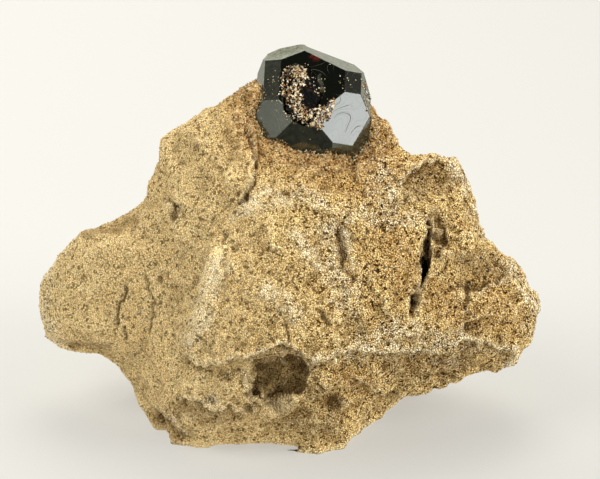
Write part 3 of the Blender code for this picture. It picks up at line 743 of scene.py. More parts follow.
def shelter_of(mesh):
    """The share of short rays from each corner that meet the rock again: high in hollows and cracks."""
    places, facing = corners_of(mesh), normals_of(mesh)
    tree = bvh_of(mesh)
    draw = np.random.default_rng(13)
    ways = draw.normal(size=(SHELTER_RAYS, 3))
    ways /= np.linalg.norm(ways, axis=1)[:, None]
    met = np.zeros(len(places))
    for index, (place, normal) in enumerate(zip(places, facing)):
        start = Vector(place + normal * SHELTER_LIFT)
        for way in ways:
            out = Vector(normal + way * SHELTER_OPEN)
            if tree.ray_cast(start, out, SHELTER_REACH)[0] is not None:
                met[index] += 1.0
    return met / SHELTER_RAYS


def relief_of(obj, rounds, full):
    """How far each corner stands above the same surface smoothed, as a share of full, from -1 to 1."""
    calm = obj.modifiers.new("calm", "SMOOTH")
    calm.factor = 0.5
    calm.iterations = rounds
    smoothed = as_shown(obj)
    relief = np.einsum("ij,ij->i", corners_of(obj.data) - corners_of(smoothed), normals_of(smoothed))
    obj.modifiers.clear()
    bpy.data.meshes.remove(smoothed)
    return np.clip(relief / full, -1.0, 1.0)


RELIEFS = {                                  # rounds of smoothing, height that counts as full
    "relief": (14, 0.16),
    "broad_relief": (90, 0.40),
}
CREASE_FULL = 0.05                           # this deep or high in millimetres counts as a full crease
COLLAR_REACH = (0.8, 5.5)                    # the orange stain fades between these distances
COARSE_ACROSS = (-8.0, 10.0)                 # from the calm left side to the coarse right side
places = corners_of(rock.data)
gap = distance_to_garnet(places)
for name, (rounds, full) in RELIEFS.items():
    add_mask(rock.data, name, relief_of(rock, rounds, full))
add_mask(rock.data, "collar", 1.0 - ease(*COLLAR_REACH, gap))
add_mask(rock.data, "crease", np.clip(crease_of(rock.data) / CREASE_FULL, -1.0, 1.0))
add_mask(rock.data, "sheltered", shelter_of(rock.data))
add_mask(rock.data, "coarse", ease(*COARSE_ACROSS, places[:, 0]))
print("near the crystal:", round((gap < 3).mean(), 3), "of the rock's corners")

# %% Masks from the marks
DROP_SEEN = 1.3                              # a step's drop times this is how strong its masks are, up to 1
RIM_FROM, RIM_TO = (-0.05, 0.10), (0.15, 0.55)           # the pale rim, a bruise and a painted highlight, measured up from the step
UNDER_FROM, UNDER_TO = (-0.15, 0.05), (0.10, 0.90)       # and the shaded part, measured down from it


def band_mask(lines):
    """1 along the lines of the display side, falling to 0 past their half width, with ragged edges."""
    mask = np.zeros(len(places))
    for marks, half_width in lines.values():
        away = np.abs(side_of_line(across, up, marks)[0]) + ragged
        mask = np.maximum(mask, 1.0 - ease(half_width * 0.4, half_width * 1.5, away))
    return mask * shown


across, up = seen_at(places)
shown = ease(0.0, 0.3, normals_of(rock.data) @ np.array(TOWARDS))    # 1 on the display side, 0 behind
ragged = 0.9 * noise_over(places, 1.1, 2.0) + 0.5 * noise_over(places, 0.45, 3.0)
rim, under = np.zeros(len(places)), np.zeros(len(places))
for marks, drop, _, _ in STEPS.values():
    side, kept = side_of_line(across, up, marks)
    side = side + step_ragged(places)
    strength = np.minimum(1.0, DROP_SEEN * drop) * kept * shown
    rim = np.maximum(rim, strength * ease(*RIM_FROM, side) * (1.0 - ease(*RIM_TO, side)))
    under = np.maximum(under, strength * ease(*UNDER_FROM, -side) * (1.0 - ease(*UNDER_TO, -side)))
cracked = np.zeros(len(places))
for name, (_, half_width, _) in CRACKS.items():
    away = distance_to(crack_points[name], places)
    cracked = np.maximum(cracked, 1.0 - ease(half_width * 0.5, half_width * 1.5, away))
for name, lines in (("pale", PALE_LINES), ("brown_and_shade", BROWN_AND_SHADE_LINES), ("stain", STAIN_LINES)):
    add_mask(rock.data, name, band_mask(lines))
for name, values in (("rim", rim), ("under", under), ("cracked", cracked)):
    add_mask(rock.data, name, values)
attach(rock, "root")
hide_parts("matrix")
print("mean of the masks: rim", round(rim.mean(), 3), "under", round(under.mean(), 3))

# %% [markdown]
# ## Finish of the rock
#
# The stone is pale tan with a warmer, orange-brown stain near the crystal and on the sheltered right side,
# and greyish white where it was bruised, with painted highlights on the rims of steps and lobes. Its grains
# differ a little in tone, the gaps between them are dark brown, and so are the small holes. It has no gloss.
# The recipe starts from two broad tans and lays each of these on in turn, with the masks of the last cells
# where the place matters: first the stains, bruises and painted highlights and the brown of painted shade,
# then the shade of the grains and the painted shade of the relief, then painted shade in hollows, creases and
# cracks and painted highlights on sharp edges. The dots between the grains are faint on the calm left side
# and strong on the coarse right side.

# %% Rock material
TAN_LIGHT = (0.860, 0.645, 0.305, 1.0)
TAN_DEEP = (0.760, 0.545, 0.240, 1.0)
OCHRE = (0.830, 0.580, 0.205, 1.0)
ORANGE = (0.600, 0.350, 0.110, 1.0)
# deep brown, mostly for painted shade in sheltered places
BROWN_AND_SHADE = (0.330, 0.210, 0.075, 1.0)
BONE = (0.850, 0.720, 0.465, 1.0)
# the dark of painted shade in creases, sheltered hollows and cracks
RECESS_SHADE = (0.100, 0.055, 0.018, 1.0)
# a painted highlight on sharp edges
GLINT = (0.900, 0.760, 0.480, 1.0)


DOT_LIGHT = 1.12                             # brightness of a grain where no dot darkens it


def ground_colour(tree, place, coarse):
    """The stone before its grains: tan with orange stains, deep brown that is mostly painted shade, and pale
    bruises and painted highlights.
    """
    broad = spread(tree, clouds(tree, place, 0.16, 4.0, 0.6), 0.35, 0.65)
    colour = blend_colours(tree, broad, TAN_DEEP, TAN_LIGHT)
    colour = blend_colours(tree, times(tree, coarse, 0.6), colour, OCHRE)
    warm = times(tree, spread(tree, clouds(tree, place, 0.5, 3.0), 0.45, 0.65), times(tree, coarse, 0.30))
    for name, share in (("collar", 0.80), ("stain", 0.60)):
        warm = maths(tree, "MAXIMUM", warm, times(tree, mask_of(tree, name), share))
    colour = blend_colours(tree, warm, colour, ORANGE)
    # painted shade: deep brown under ledges, in the scoop and along the crevice, with a few brown spots
    colour = blend_colours(tree, times(tree, mask_of(tree, "brown_and_shade"), 0.75), colour, BROWN_AND_SHADE)
    # pale bands: bruised stone, and painted highlight on the lit rims of the lobes, the shoulder and the lip
    patchy = spread(tree, clouds(tree, place, 1.1, 4.0, 0.7), 0.40, 0.56, 0.05, 0.80)
    bone = times(tree, mask_of(tree, "pale"), patchy)
    # painted highlight: the rim of each step is made pale
    bone = maths(tree, "MAXIMUM", bone, times(tree, mask_of(tree, "rim"), 0.45))
    return blend_colours(tree, bone, colour, BONE)


def grain_shade(tree, place, coarse, fine, grit):
    """A factor on the ground colour: its grains, the dark dots between them, and painted shade from the
    relief.
    """
    def by_side(calm, strong):
        return spread(tree, coarse, 0.0, 1.0, calm, strong)

    shade = spread(tree, clouds(tree, place, 0.7, 4.0, 0.7), 0.34, 0.66, 0.93, 1.07)
    for value, darkest in (
            (maths(tree, "SUBTRACT", 1.0, fine["Gap"]), by_side(0.28, 0.04)),
            (spread(tree, fine["Tone"], 0.06, 0.14), by_side(0.32, 0.10)),
            (spread(tree, grit, 0.36, 0.46), by_side(0.78, 0.14))):
        dots = node(tree, "Mix", {0: value, 2: darkest, 3: DOT_LIGHT}, data_type="FLOAT").outputs[0]
        shade = times(tree, shade, dots)
    # painted light and shade: raised parts lighter, parts that lie back darker, and painted shadow under each
    # step
    for factor in (
            spread(tree, mask_of(tree, "relief"), -1.0, 1.0, by_side(0.88, 0.78), by_side(1.06, 1.18)),
            spread(tree, mask_of(tree, "broad_relief"), -1.0, 1.0, 0.84, 1.14),
            spread(tree, mask_of(tree, "under"), 0.0, 1.0, 1.0, 0.76)):
        shade = times(tree, shade, factor)
    green = maths(tree, "POWER", shade, by_side(1.05, 1.24))    # darker places are also warmer
    blue = maths(tree, "POWER", shade, by_side(1.20, 1.70))
    return node(tree, "CombineColor", {0: shade, 1: green, 2: blue}).outputs[0]


def rock_colour(tree, place):
    """The colour of the stone with its painted shade and highlights, and a height for its bump."""
    coarse, crease = mask_of(tree, "coarse"), mask_of(tree, "crease")
    fine = use_group(tree, grain_group, {"Place": place, "Grain Size": 0.23, "Gap Width": 0.17})
    grit = clouds(tree, place, 6.2, 1.5)
    colour, shade = ground_colour(tree, place, coarse), grain_shade(tree, place, coarse, fine, grit)
    colour = blend_colours(tree, 1.0, colour, shade, "MULTIPLY")
    # painted shade: creases, sheltered hollows and cracks are darkened to a deep brown
    recess_shade_amount = spread(tree, crease, 0.15, 1.0, 0.0, 0.60)
    recess_shade_amount = maths(tree, "MAXIMUM", recess_shade_amount, spread(tree, mask_of(tree, "sheltered"), 0.30, 0.90, 0.0, 0.75))
    recess_shade_amount = maths(tree, "MAXIMUM", recess_shade_amount, times(tree, mask_of(tree, "cracked"), 0.6))
    colour = blend_colours(tree, recess_shade_amount, colour, RECESS_SHADE)
    # painted highlight: sharp edges are lightened
    colour = blend_colours(tree, spread(tree, crease, -0.9, -0.1, 0.20, 0.0), colour, GLINT)
    return colour, maths(tree, "ADD", times(tree, fine["Height"], 0.6), times(tree, grit, 2.2))


def make_rock_material():
    material, tree, shader = new_material("pale altered lava")
    colour, height = rock_colour(tree, place_in_mm(tree))
    dress(tree, shader, colour, height, 1.0, 0.16)
    shader.inputs["Roughness"].default_value = 0.95
    shader.inputs["Specular IOR Level"].default_value = 0.2
    return material


rock.data.materials.clear()
rock.data.materials.append(make_rock_material())

# %% [markdown]
# ## The garnet crystal
#
# Garnet grows as a form of twenty-four kite-shaped faces, here cut by the twelve faces of a second form.
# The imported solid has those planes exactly. Two things make it look like a crystal and not like a model
# of one: the edges catch a thin line of light because no edge is perfectly sharp, and no two faces have
# quite the same finish. So the copy keeps its planes, gets a very narrow bevel along every edge where
# two crystal faces meet, and is divided finely so that it can carry masks for dust and scratches. The
# wall of the pocket in it is broken, not grown, so it is made rough, and the far edge of the upper faces
# is swollen a little because growth rounded it there.

# %% Crystal faces and bevels
EDGE_BEVEL = 0.055
SLICE = 0.36                                 # spacing of the cuts that divide the faces
PLANE_ANGLE = math.radians(0.6)              # triangles that differ less than this are one face
PLANE_GAP = 0.02                             # how far a corner may stand in front of a crystal face
WALL_DEPTH = 0.08                            # what lies deeper than this is the wall of the pocket
WALL_ROUGH = ((0.9, 0.28), (0.35, 0.16))     # (size, height) of the broken pocket wall
TOP_EDGE = [(-3.2, 37.0), (-0.6, 37.2), (2.6, 38.4)]
SWELL = 0.55                                 # how far the rounded edge stands out
SWELL_REACH = 1.0                            # and how far above the marks it is full
SWELL_WAY = UPWARD * 0.94 - RIGHT * 0.35     # up and a little to the left


def bmesh_in_mm(mesh):
    work = bmesh.new()
    work.from_mesh(mesh)
    bmesh.ops.scale(work, vec=(1 / MM,) * 3, verts=work.verts)
    bmesh.ops.remove_doubles(work, verts=work.verts, dist=0.002)
    return work


def is_outer(face, work):
    """True for a crystal face: the whole crystal lies behind its plane."""
    middle = face.calc_center_median()
    return max(face.normal.dot(vert.co - middle) for vert in work.verts) < PLANE_GAP


def rough_at(place, sizes):
    return sum(height * noise.noise(place / size) for size, height in sizes)


def object_from(work, name):
    """Ends the work on a mesh in millimetres and puts it in the scene."""
    bmesh.ops.scale(work, vec=(MM,) * 3, verts=work.verts)
    mesh = bpy.data.meshes.new(name)
    work.to_mesh(mesh)
    work.free()
    return link(bpy.data.objects.new(name, mesh))


def slice_finely(work, spacing):
    """Cuts the faces along three sets of parallel planes, which leaves every plane as flat as it was."""
    for way in (RIGHT, UPWARD, TOWARDS):
        depths = [way.dot(vert.co) for vert in work.verts]
        for index in range(1, math.ceil((max(depths) - min(depths)) / spacing)):
            geometry = list(work.verts) + list(work.edges) + list(work.faces)
            bmesh.ops.bisect_plane(
                work, geom=geometry, plane_co=way * (min(depths) + index * spacing), plane_no=way)
    bmesh.ops.triangulate(work, faces=work.faces)


def round_the_top(work):
    """Swells the back of the upper left faces, whose far edge is rounded by growth."""
    places = np.array([vert.co for vert in work.verts])
    above, kept = side_of_line(*seen_at(places), TOP_EDGE)
    swell = SWELL * ease(0.0, SWELL_REACH, above) * kept
    for vert, amount in zip(work.verts, swell):
        vert.co += SWELL_WAY * amount


def make_crystal():
    work = bmesh_in_mm(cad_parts["garnet"].data)
    bmesh.ops.dissolve_limit(work, angle_limit=PLANE_ANGLE, verts=work.verts, edges=work.edges)
    outer = {face for face in work.faces if is_outer(face, work)}
    planes = [(face.normal.copy(), face.calc_center_median()) for face in outer]
    sharp = [edge for edge in work.edges if all(face in outer for face in edge.link_faces)]
    bmesh.ops.bevel(work, geom=sharp, offset=EDGE_BEVEL, segments=2, profile=0.6, affect="EDGES")
    slice_finely(work, SLICE)
    wall = work.faces.layers.int.new("wall")
    for face in work.faces:
        middle = face.calc_center_median()
        depth = min(-normal.dot(middle - at) for normal, at in planes)
        face[wall] = int(depth > WALL_DEPTH)
    for vert in work.verts:
        if all(face[wall] for face in vert.link_faces):
            vert.co += vert.normal * rough_at(vert.co, WALL_ROUGH)
    round_the_top(work)
    for face in work.faces:
        face.smooth = False
    return object_from(work, "garnet_crystal"), len(planes)


crystal, plane_count = make_crystal()
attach(crystal, "root")
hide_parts("garnet")
print("crystal:", plane_count, "planes,", len(crystal.data.polygons), "triangles")

# %% [markdown]
# ## Finish of the crystal
#
# Most faces are a polished black, but two groups at the top are frosted by a fine growth pattern and look
# grey, and the rest lie between. So each face has one value for how matt it is. In a few places growth
# and wear left hairlines on the polish: there the contour lines of a slow noise are drawn, since they run
# side by side and never cross, like real growth lines. Tan dust lies on the crystal near the rock and near
# the lining of the pocket. At the top one edge is thin enough for light to shine through it red, and that
# red glow is painted into its colour.

# %% Masks for the crystal
FACE_FROST = {                               # where a face looks: (across, up, towards), how matt it is
    "upper, black": ((0.03, 0.68, 0.74), 0.00),
    "right, bright": ((0.58, 0.08, 0.81), 0.05),
    "left, grey": ((-0.58, 0.13, 0.81), 0.18),
    "lower": ((-0.03, -0.47, 0.88), 0.10),
    "top left": ((-0.25, 0.92, 0.29), 1.00),
    "top right": ((0.33, 0.90, 0.30), 0.68),
    "right side": ((0.88, 0.30, 0.37), 0.40),
    "left side": ((-0.85, 0.38, 0.36), 0.30),
    "upper right": ((0.52, 0.56, 0.64), 0.04),
    "upper left": ((-0.48, 0.61, 0.63), 0.12),
}
HIDDEN_FROST = 0.15
FACE_LIKENESS = 0.93                         # a face further from all of these is a hidden one
# the thin top edge, where a red glow of light shining through is painted into the colour
RED_GLOW_EDGE = [(2.80, 37.45), (3.15, 37.28)]
SCRATCHES = {                                # lines of the display view; hairlines lie in a band round each
    "on the black face": [(4.05, 36.5), (3.05, 35.3)],
    "arc on the bright face": [(5.7, 31.2), (6.1, 30.5), (6.6, 30.1), (7.2, 29.9)],
    "second arc": [(5.4, 32.6), (5.9, 31.6), (6.5, 30.9)],
    "growth edge, outer": [(3.8, 37.9), (3.8, 37.4), (6.5, 35.9), (6.7, 36.7), (3.8, 37.9)],
    "across the top right face": [(6.3, 36.8), (6.9, 36.1), (7.2, 35.8)],
}
MARK_STEP = 0.05                             # spacing of the points of a mark on the crystal


def display_vector(vector):
    return np.array([vector.dot(way) for way in (RIGHT, UPWARD, TOWARDS)])


def frost_of(mesh):
    """How matt each corner's face is."""
    frost = np.full(len(mesh.vertices), HIDDEN_FROST)
    ways = [(np.array(way) / np.linalg.norm(way), value) for way, value in FACE_FROST.values()]
    for face in mesh.polygons:
        seen = display_vector(face.normal)
        likeness, value = max((seen.dot(way), value) for way, value in ways)
        if likeness > FACE_LIKENESS:
            frost[list(face.vertices)] = value
    return frost


def nearest_in(tree, places, reach):
    """From each place to the nearest surface of a tree, no more than reach."""
    found = [tree.find_nearest(Vector(place), reach)[3] for place in places]
    return np.array([reach if away is None else away for away in found])


def from_marks(marks):
    """From each corner of the crystal to a line of marks on it."""
    return distance_to(line_on_rock(garnet_tree, marks, MARK_STEP), crystal_places)


DUST_REACH = 3.0
crystal_places = corners_of(crystal.data)
from_rock = nearest_in(bvh_of(rock.data), crystal_places, DUST_REACH)
from_crust = nearest_in(bvh_of(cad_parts["pocket_crust"].data), crystal_places, DUST_REACH)
dusty = np.maximum(1.0 - ease(0.2, 1.1, from_rock), 0.35 * (1.0 - ease(0.3, 1.1, from_crust)))
scratch = np.zeros(len(crystal_places))
for marks in SCRATCHES.values():
    scratch = np.maximum(scratch, 1.0 - ease(0.5, 1.2, from_marks(marks)))
add_mask(crystal.data, "frost", frost_of(crystal.data))
add_mask(crystal.data, "dusty", dusty)
add_mask(crystal.data, "scratch", scratch)
add_mask(crystal.data, "red_glow", 1.0 - ease(0.05, 0.32, from_marks(RED_GLOW_EDGE)))
print("dusty part of the crystal:", round(float((from_rock < 1.0).mean()), 2))

# %% Garnet material
GARNET_BLACK = (0.0026, 0.0032, 0.0020, 1.0)
GARNET_BLOOM = (0.185, 0.192, 0.122, 1.0)
GARNET_RED_GLOW = (0.300, 0.030, 0.020, 1.0)
DUST_TAN = (0.520, 0.370, 0.190, 1.0)
GARNET_TINT = (0.97, 1.0, 0.82, 1.0)         # of what it reflects
GARNET_IOR = 1.89
HAIRLINES = 9.0                              # contour lines in the full range of the slow noise
GROWTH_STEPS = 22.0                          # low steps in the same range, which only the bump shows


def make_garnet_material():
    material, tree, shader = new_material("black garnet")
    place = place_in_mm(tree)
    frost, dusty, scratch = (mask_of(tree, name) for name in ("frost", "dusty", "scratch"))
    bloom = times(tree, frost, spread(tree, clouds(tree, place, 2.2, 5.0, 0.7), 0.38, 0.60, 0.25, 1.0))
    hills = clouds(tree, place, 0.30, 0.0)
    ring = maths(tree, "FRACT", times(tree, hills, HAIRLINES))
    ring = maths(tree, "ABSOLUTE", maths(tree, "SUBTRACT", ring, 0.5))
    hair = times(tree, spread(tree, ring, 0.010, 0.035, 0.6, 0.0), scratch)
    specks = use_group(tree, dust_group, {
        "Place": place, "Speck Size": 0.17, "Patch Size": 1.4,
        "Amount": spread(tree, dusty, 0.0, 1.0, 0.004, 0.50)})["Mask"]
    colour = blend_colours(tree, bloom, GARNET_BLACK, GARNET_BLOOM)
    colour = blend_colours(tree, times(tree, hair, 0.3), colour, GARNET_BLOOM)
    # painted glow: red light through the thin top edge
    colour = blend_colours(tree, times(tree, mask_of(tree, "red_glow"), 0.3), colour, GARNET_RED_GLOW)
    colour = blend_colours(tree, specks, colour, DUST_TAN)
    rough = spread(tree, bloom, 0.0, 0.5, 0.05, 0.22)
    rough = maths(tree, "ADD", rough, times(tree, maths(tree, "MAXIMUM", specks, hair), 0.7), True)
    steps = maths(tree, "FRACT", times(tree, hills, GROWTH_STEPS))
    height = maths(tree, "ADD", times(tree, steps, 0.35), times(tree, clouds(tree, place, 5.0, 3.0), 0.8))
    height = maths(tree, "SUBTRACT", height, times(tree, hair, 1.5))
    height = maths(tree, "ADD", height, times(tree, specks, 2.0))
    dress(tree, shader, colour, height, 0.35, 0.02)
    tree.links.new(rough, shader.inputs["Roughness"])
    shader.inputs["IOR"].default_value = GARNET_IOR
    shader.inputs["Specular Tint"].default_value = GARNET_TINT
    return material


crystal.data.materials.append(make_garnet_material())

# %% [markdown]
# ## Loose grains
#
# Three places are covered with real grains: the whole rock, whose surface is a crust of broken mineral
# grains; the collar round the crystal, where orange and cream grains fill the join; and the pocket,
# whose lining sparkles. A particle system would scatter them, but its copies are lost in an export.
# Here each grain is a tetrahedron that is stretched, bent and turned at random, all grains of a place are
# computed at once as arrays, and they become one mesh with one colour value for each grain.

# %% A mesh of many grains
GRAIN_CORNERS = np.array([(1, 1, 1), (1, -1, -1), (-1, 1, -1), (-1, -1, 1)], dtype=float)
GRAIN_TRIANGLES = np.array([(0, 1, 2), (0, 3, 1), (0, 2, 3), (1, 3, 2)])
GRAIN_STRETCH = (0.65, 1.35)


def random_turns(draw, count):
    """Random rotation matrices."""
    turns = draw.normal(size=(count, 4))
    w, x, y, z = (turns / np.linalg.norm(turns, axis=1)[:, None]).T
    return np.stack([
        1 - 2 * (y * y + z * z), 2 * (x * y - z * w), 2 * (x * z + y * w),
        2 * (x * y + z * w), 1 - 2 * (x * x + z * z), 2 * (y * z - x * w),
        2 * (x * z - y * w), 2 * (y * z + x * w), 1 - 2 * (x * x + y * y)], axis=1).reshape(-1, 3, 3)


def grain_piece(name, middles, radii, seed, uneven=0.35):
    """One object made of a grain at each middle."""
    draw = np.random.default_rng(seed)
    count, size = len(middles), len(GRAIN_CORNERS)
    stretch = draw.uniform(*GRAIN_STRETCH, (count, 1, 3))
    bent = GRAIN_CORNERS[None] * stretch * draw.uniform(1 - uneven, 1 + uneven, (count, size, 1))
    turned = np.einsum("nij,nkj->nki", random_turns(draw, count), bent)
    placed = turned * radii[:, None, None] + middles[:, None, :]
    numbered = GRAIN_TRIANGLES[None] + (np.arange(count) * size)[:, None, None]
    piece = mesh_object(name, placed.reshape(-1, 3), numbered.reshape(-1, 3))
    add_mask(piece.data, "tint", np.repeat(draw.random(count), size))
    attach(piece, "root")
    print(name + ":", count, "grains,", len(piece.data.polygons), "triangles")
    return piece


def points_over(mesh, count, draw):
    """Random points spread evenly over a mesh of triangles, with its normals there."""
    places = corners_of(mesh)
    tri = np.empty(len(mesh.polygons) * 3, dtype=np.int32)
    mesh.loops.foreach_get("vertex_index", tri)
    a, b, c = (places[tri.reshape(-1, 3)[:, k]] for k in range(3))
    cross = np.cross(b - a, c - a)
    area = np.linalg.norm(cross, axis=1)
    chosen = draw.choice(len(area), count, p=area / area.sum())
    u, v = np.sqrt(draw.random(count)), draw.random(count)
    spots = (1 - u)[:, None] * a[chosen] + (u * (1 - v))[:, None] * b[chosen] + (u * v)[:, None] * c[chosen]
    return spots, cross[chosen] / area[chosen][:, None]


# %% Grains over the whole rock
ROCK_GRAINS = 49000
ROCK_GRAIN_RADIUS = (0.035, 0.08)
SINK = 0.10                                  # how deep a grain's middle sits, of its radius
CLEAR_OF_FLOOR = 0.35
CLEAR_OF_CRYSTAL = 0.45


def radii_between(draw, limits, count, power=2.0):
    """Random radii; a higher power gives more small ones."""
    return limits[0] + (limits[1] - limits[0]) * draw.random(count) ** power


def scatter_on_rock():
    draw = np.random.default_rng(21)
    spots, facing = points_over(rock.data, ROCK_GRAINS, draw)
    radii = radii_between(draw, ROCK_GRAIN_RADIUS, ROCK_GRAINS)
    clear = (spots[:, 2] > CLEAR_OF_FLOOR) & (distance_to_garnet(spots) > CLEAR_OF_CRYSTAL)
    middles = spots - facing * (radii * SINK)[:, None]
    return grain_piece("rock_grains", middles[clear], radii[clear], 22)


rock_grains = scatter_on_rock()

# %% The collar round the crystal
COLLAR_SPOTS = 160000                        # spots tried over the rock, of which those near it are kept
COLLAR_GRAINS = 13000
COLLAR_RADIUS = (0.045, 0.11)
COLLAR_WIDTH = 2.4
COLLAR_LIFT = 0.1                            # how far a grain's middle stands out, of its radius
SOCKET_SIGHT = 0.9
LIP_GRAINS = 5200                            # those that lie right against the crystal and close the join
LIP_REACH = 0.75                             # they start from rock this near to it
LIP_SCATTER = 0.12
LIP_PULL = (0.3, 0.95)                       # and go this share of the way


def in_socket(spot, facing):
    """True where the rock faces the crystal from close by."""
    return garnet_tree.ray_cast(Vector(spot), Vector(facing), SOCKET_SIGHT)[0] is not None


def scatter_collar():
    draw = np.random.default_rng(31)
    spots, facing = points_over(rock.data, COLLAR_SPOTS, draw)
    away = distance_to_garnet(spots)
    near = np.flatnonzero(away < COLLAR_WIDTH)
    open_here = np.array([not in_socket(spots[index], facing[index]) for index in near])
    near = near[open_here]
    likely = (1.0 - away[near] / COLLAR_WIDTH) ** 1.3 + 0.03    # denser towards the crystal
    chosen = draw.choice(near, min(COLLAR_GRAINS, len(near)), replace=False, p=likely / likely.sum())
    radii = radii_between(draw, COLLAR_RADIUS, len(chosen))
    middles = spots[chosen] + facing[chosen] * (radii * COLLAR_LIFT)[:, None]
    lip = draw.choice(near[away[near] < LIP_REACH], LIP_GRAINS)
    lip_radii = radii_between(draw, COLLAR_RADIUS, LIP_GRAINS, 1.2)
    lip_middles = spots[lip] + draw.normal(0.0, LIP_SCATTER, (LIP_GRAINS, 3))
    for index, middle in enumerate(lip_middles):
        towards = garnet_tree.find_nearest(Vector(middle))[0] - Vector(middle)
        lip_middles[index] += np.array(towards) * draw.uniform(*LIP_PULL)
    return np.vstack([middles, lip_middles]), np.concatenate([radii, lip_radii])


collar_middles, collar_radii = scatter_collar()
collar_grains = grain_piece("collar_grains", collar_middles, collar_radii, 32)

# %% [markdown]
# ## The pocket
#
# The pocket was open while the crystal grew, and small crystals covered its wall later. Its lining is
# dark and glassy like the garnet itself, with a deep hole at the right that stays black, and the grains
# on it are cream, tan and reddish brown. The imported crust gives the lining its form. The grains are
# sown by regions of the display view, and each lands on the surface behind its place.

# %% Pocket lining and its grains
POCKET_SOWN = {                              # (across, up) corners of a region, grains, radii
    "main": ([(-0.7, 35.6), (-0.1, 36.5), (1.0, 36.6), (1.9, 36.2), (2.1, 35.2), (1.6, 33.8), (1.7, 32.4),
              (2.2, 31.6), (0.8, 31.4), (-0.4, 32.4), (-0.7, 34.0)], 640, (0.04, 0.12)),
    "pale patch": ([(0.5, 36.5), (1.7, 36.4), (2.1, 35.2), (1.2, 35.0), (0.4, 35.6)], 200, (0.05, 0.12)),
    "right wall": ([(1.9, 35.6), (3.0, 35.2), (3.6, 34.0), (3.5, 33.0), (2.7, 33.6), (2.0, 34.2)], 60,
                   (0.04, 0.08)),
    "heap": ([(0.6, 31.8), (2.2, 31.6), (3.6, 32.2), (4.6, 31.4), (3.9, 30.4), (3.6, 29.6), (2.4, 29.9),
              (1.2, 30.6)], 640, (0.05, 0.12)),
    "chipped edge": ([(3.7, 32.0), (4.9, 33.0), (5.1, 32.4), (4.6, 31.0), (4.2, 30.4), (3.8, 31.0)], 170,
                     (0.05, 0.13)),
    "left face": ([(-2.2, 35.2), (-0.7, 36.2), (-0.7, 33.0), (-1.3, 32.0), (-1.8, 33.4)], 40, (0.03, 0.06)),
    "left foot": ([(-1.3, 31.6), (0.6, 31.5), (1.6, 30.4), (0.9, 30.2), (-0.3, 31.0)], 60, (0.03, 0.07)),
    "right face": ([(5.4, 35.4), (6.4, 35.4), (7.6, 34.8), (7.4, 33.6), (6.2, 33.6), (5.4, 34.4)], 26,
                   (0.03, 0.06)),
    "right side": ([(7.9, 35.0), (8.8, 34.6), (9.0, 31.5), (8.4, 31.5)], 150, (0.03, 0.09)),
    "lower edge": ([(-2.8, 28.8), (-0.5, 27.6), (2.5, 27.3), (4.6, 27.2), (4.6, 26.6), (0.4, 26.4),
                    (-2.2, 27.3)], 420, (0.04, 0.10)),
}
LINING_ROUGH = ((0.5, 0.16), (0.22, 0.10))   # (size, height)


def inside(corners, x, y):
    """True where a line from a place to one side crosses the region's outline an odd number of times."""
    crossings = 0
    for (x0, y0), (x1, y1) in zip(corners, corners[1:] + corners[:1]):
        if (y0 > y) != (y1 > y) and x < x0 + (y - y0) * (x1 - x0) / (y1 - y0):
            crossings += 1
    return crossings % 2 == 1


def first_hit(trees, across, up):
    """The nearest surface of several behind a place of the display view: place, normal, index, distance."""
    ray = (display_point(across, up, 0.0) - eye).normalized()
    hits = [hit for hit in (tree.ray_cast(eye, ray) for tree in trees) if hit[0] is not None]
    return min(hits, key=lambda hit: hit[3]) if hits else None


def make_lining():
    work = bmesh_in_mm(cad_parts["pocket_crust"].data)
    for _ in range(2):
        bmesh.ops.subdivide_edges(work, edges=work.edges, cuts=1, use_grid_fill=True)
    for vert in work.verts:
        vert.co += vert.normal * rough_at(vert.co, LINING_ROUGH)
    return object_from(work, "pocket_lining")


lining = make_lining()
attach(lining, "root")
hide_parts("pocket_crust")
print("lining:", len(lining.data.polygons), "triangles")


def sow_pocket():
    draw = random.Random(41)
    trees = (bvh_of(crystal.data), bvh_of(lining.data))
    middles, radii = [], []
    for corners, count, limits in POCKET_SOWN.values():
        xs, ys = zip(*corners)
        for _ in range(count):
            x, y = draw.uniform(min(xs), max(xs)), draw.uniform(min(ys), max(ys))
            hit = first_hit(trees, x, y) if inside(corners, x, y) else None
            if hit is None:
                continue
            radius = limits[0] + (limits[1] - limits[0]) * draw.random() ** 1.6
            middles.append(hit[0] + hit[1] * radius * draw.uniform(0.0, 0.7))
            radii.append(radius)
    return np.array(middles), np.array(radii)


pocket_grains = grain_piece("pocket_grains", *sow_pocket(), 42, uneven=0.45)

# %% [markdown]
# ## Finish of the grains
#
# Every grain has one value, its tint, and a colour ramp turns that into one of the minerals that the
# place holds. The rock's grains are mostly cream and tan with a few dark ones, the collar's are more
# orange, and the pocket's are glossier so that some of them flash.

# %% Grain materials
def make_grain_material(name, minerals, roughness, specular):
    """minerals: (share, colour) in the order of the tint."""
    material, tree, shader = new_material(name)
    ramp = node(tree, "ValToRGB", {"Fac": mask_of(tree, "tint")})
    ramp.color_ramp.interpolation = "CONSTANT"
    total, start = sum(share for share, _ in minerals), 0.0
    stops = ramp.color_ramp.elements
    stops.remove(stops[1])
    for index, (share, colour) in enumerate(minerals):
        stop = stops[0] if index == 0 else stops.new(start)
        stop.position = start
        stop.color = colour
        start += share / total
    cloud = clouds(tree, place_in_mm(tree), 7.0, 2.0)
    colour = blend_colours(tree, 1.0, ramp.outputs[0], spread(tree, cloud, 0.3, 0.7, 0.7, 1.25), "MULTIPLY")
    dress(tree, shader, colour, cloud, 0.4, 0.03)
    shader.inputs["Roughness"].default_value = roughness
    shader.inputs["Specular IOR Level"].default_value = specular
    return material


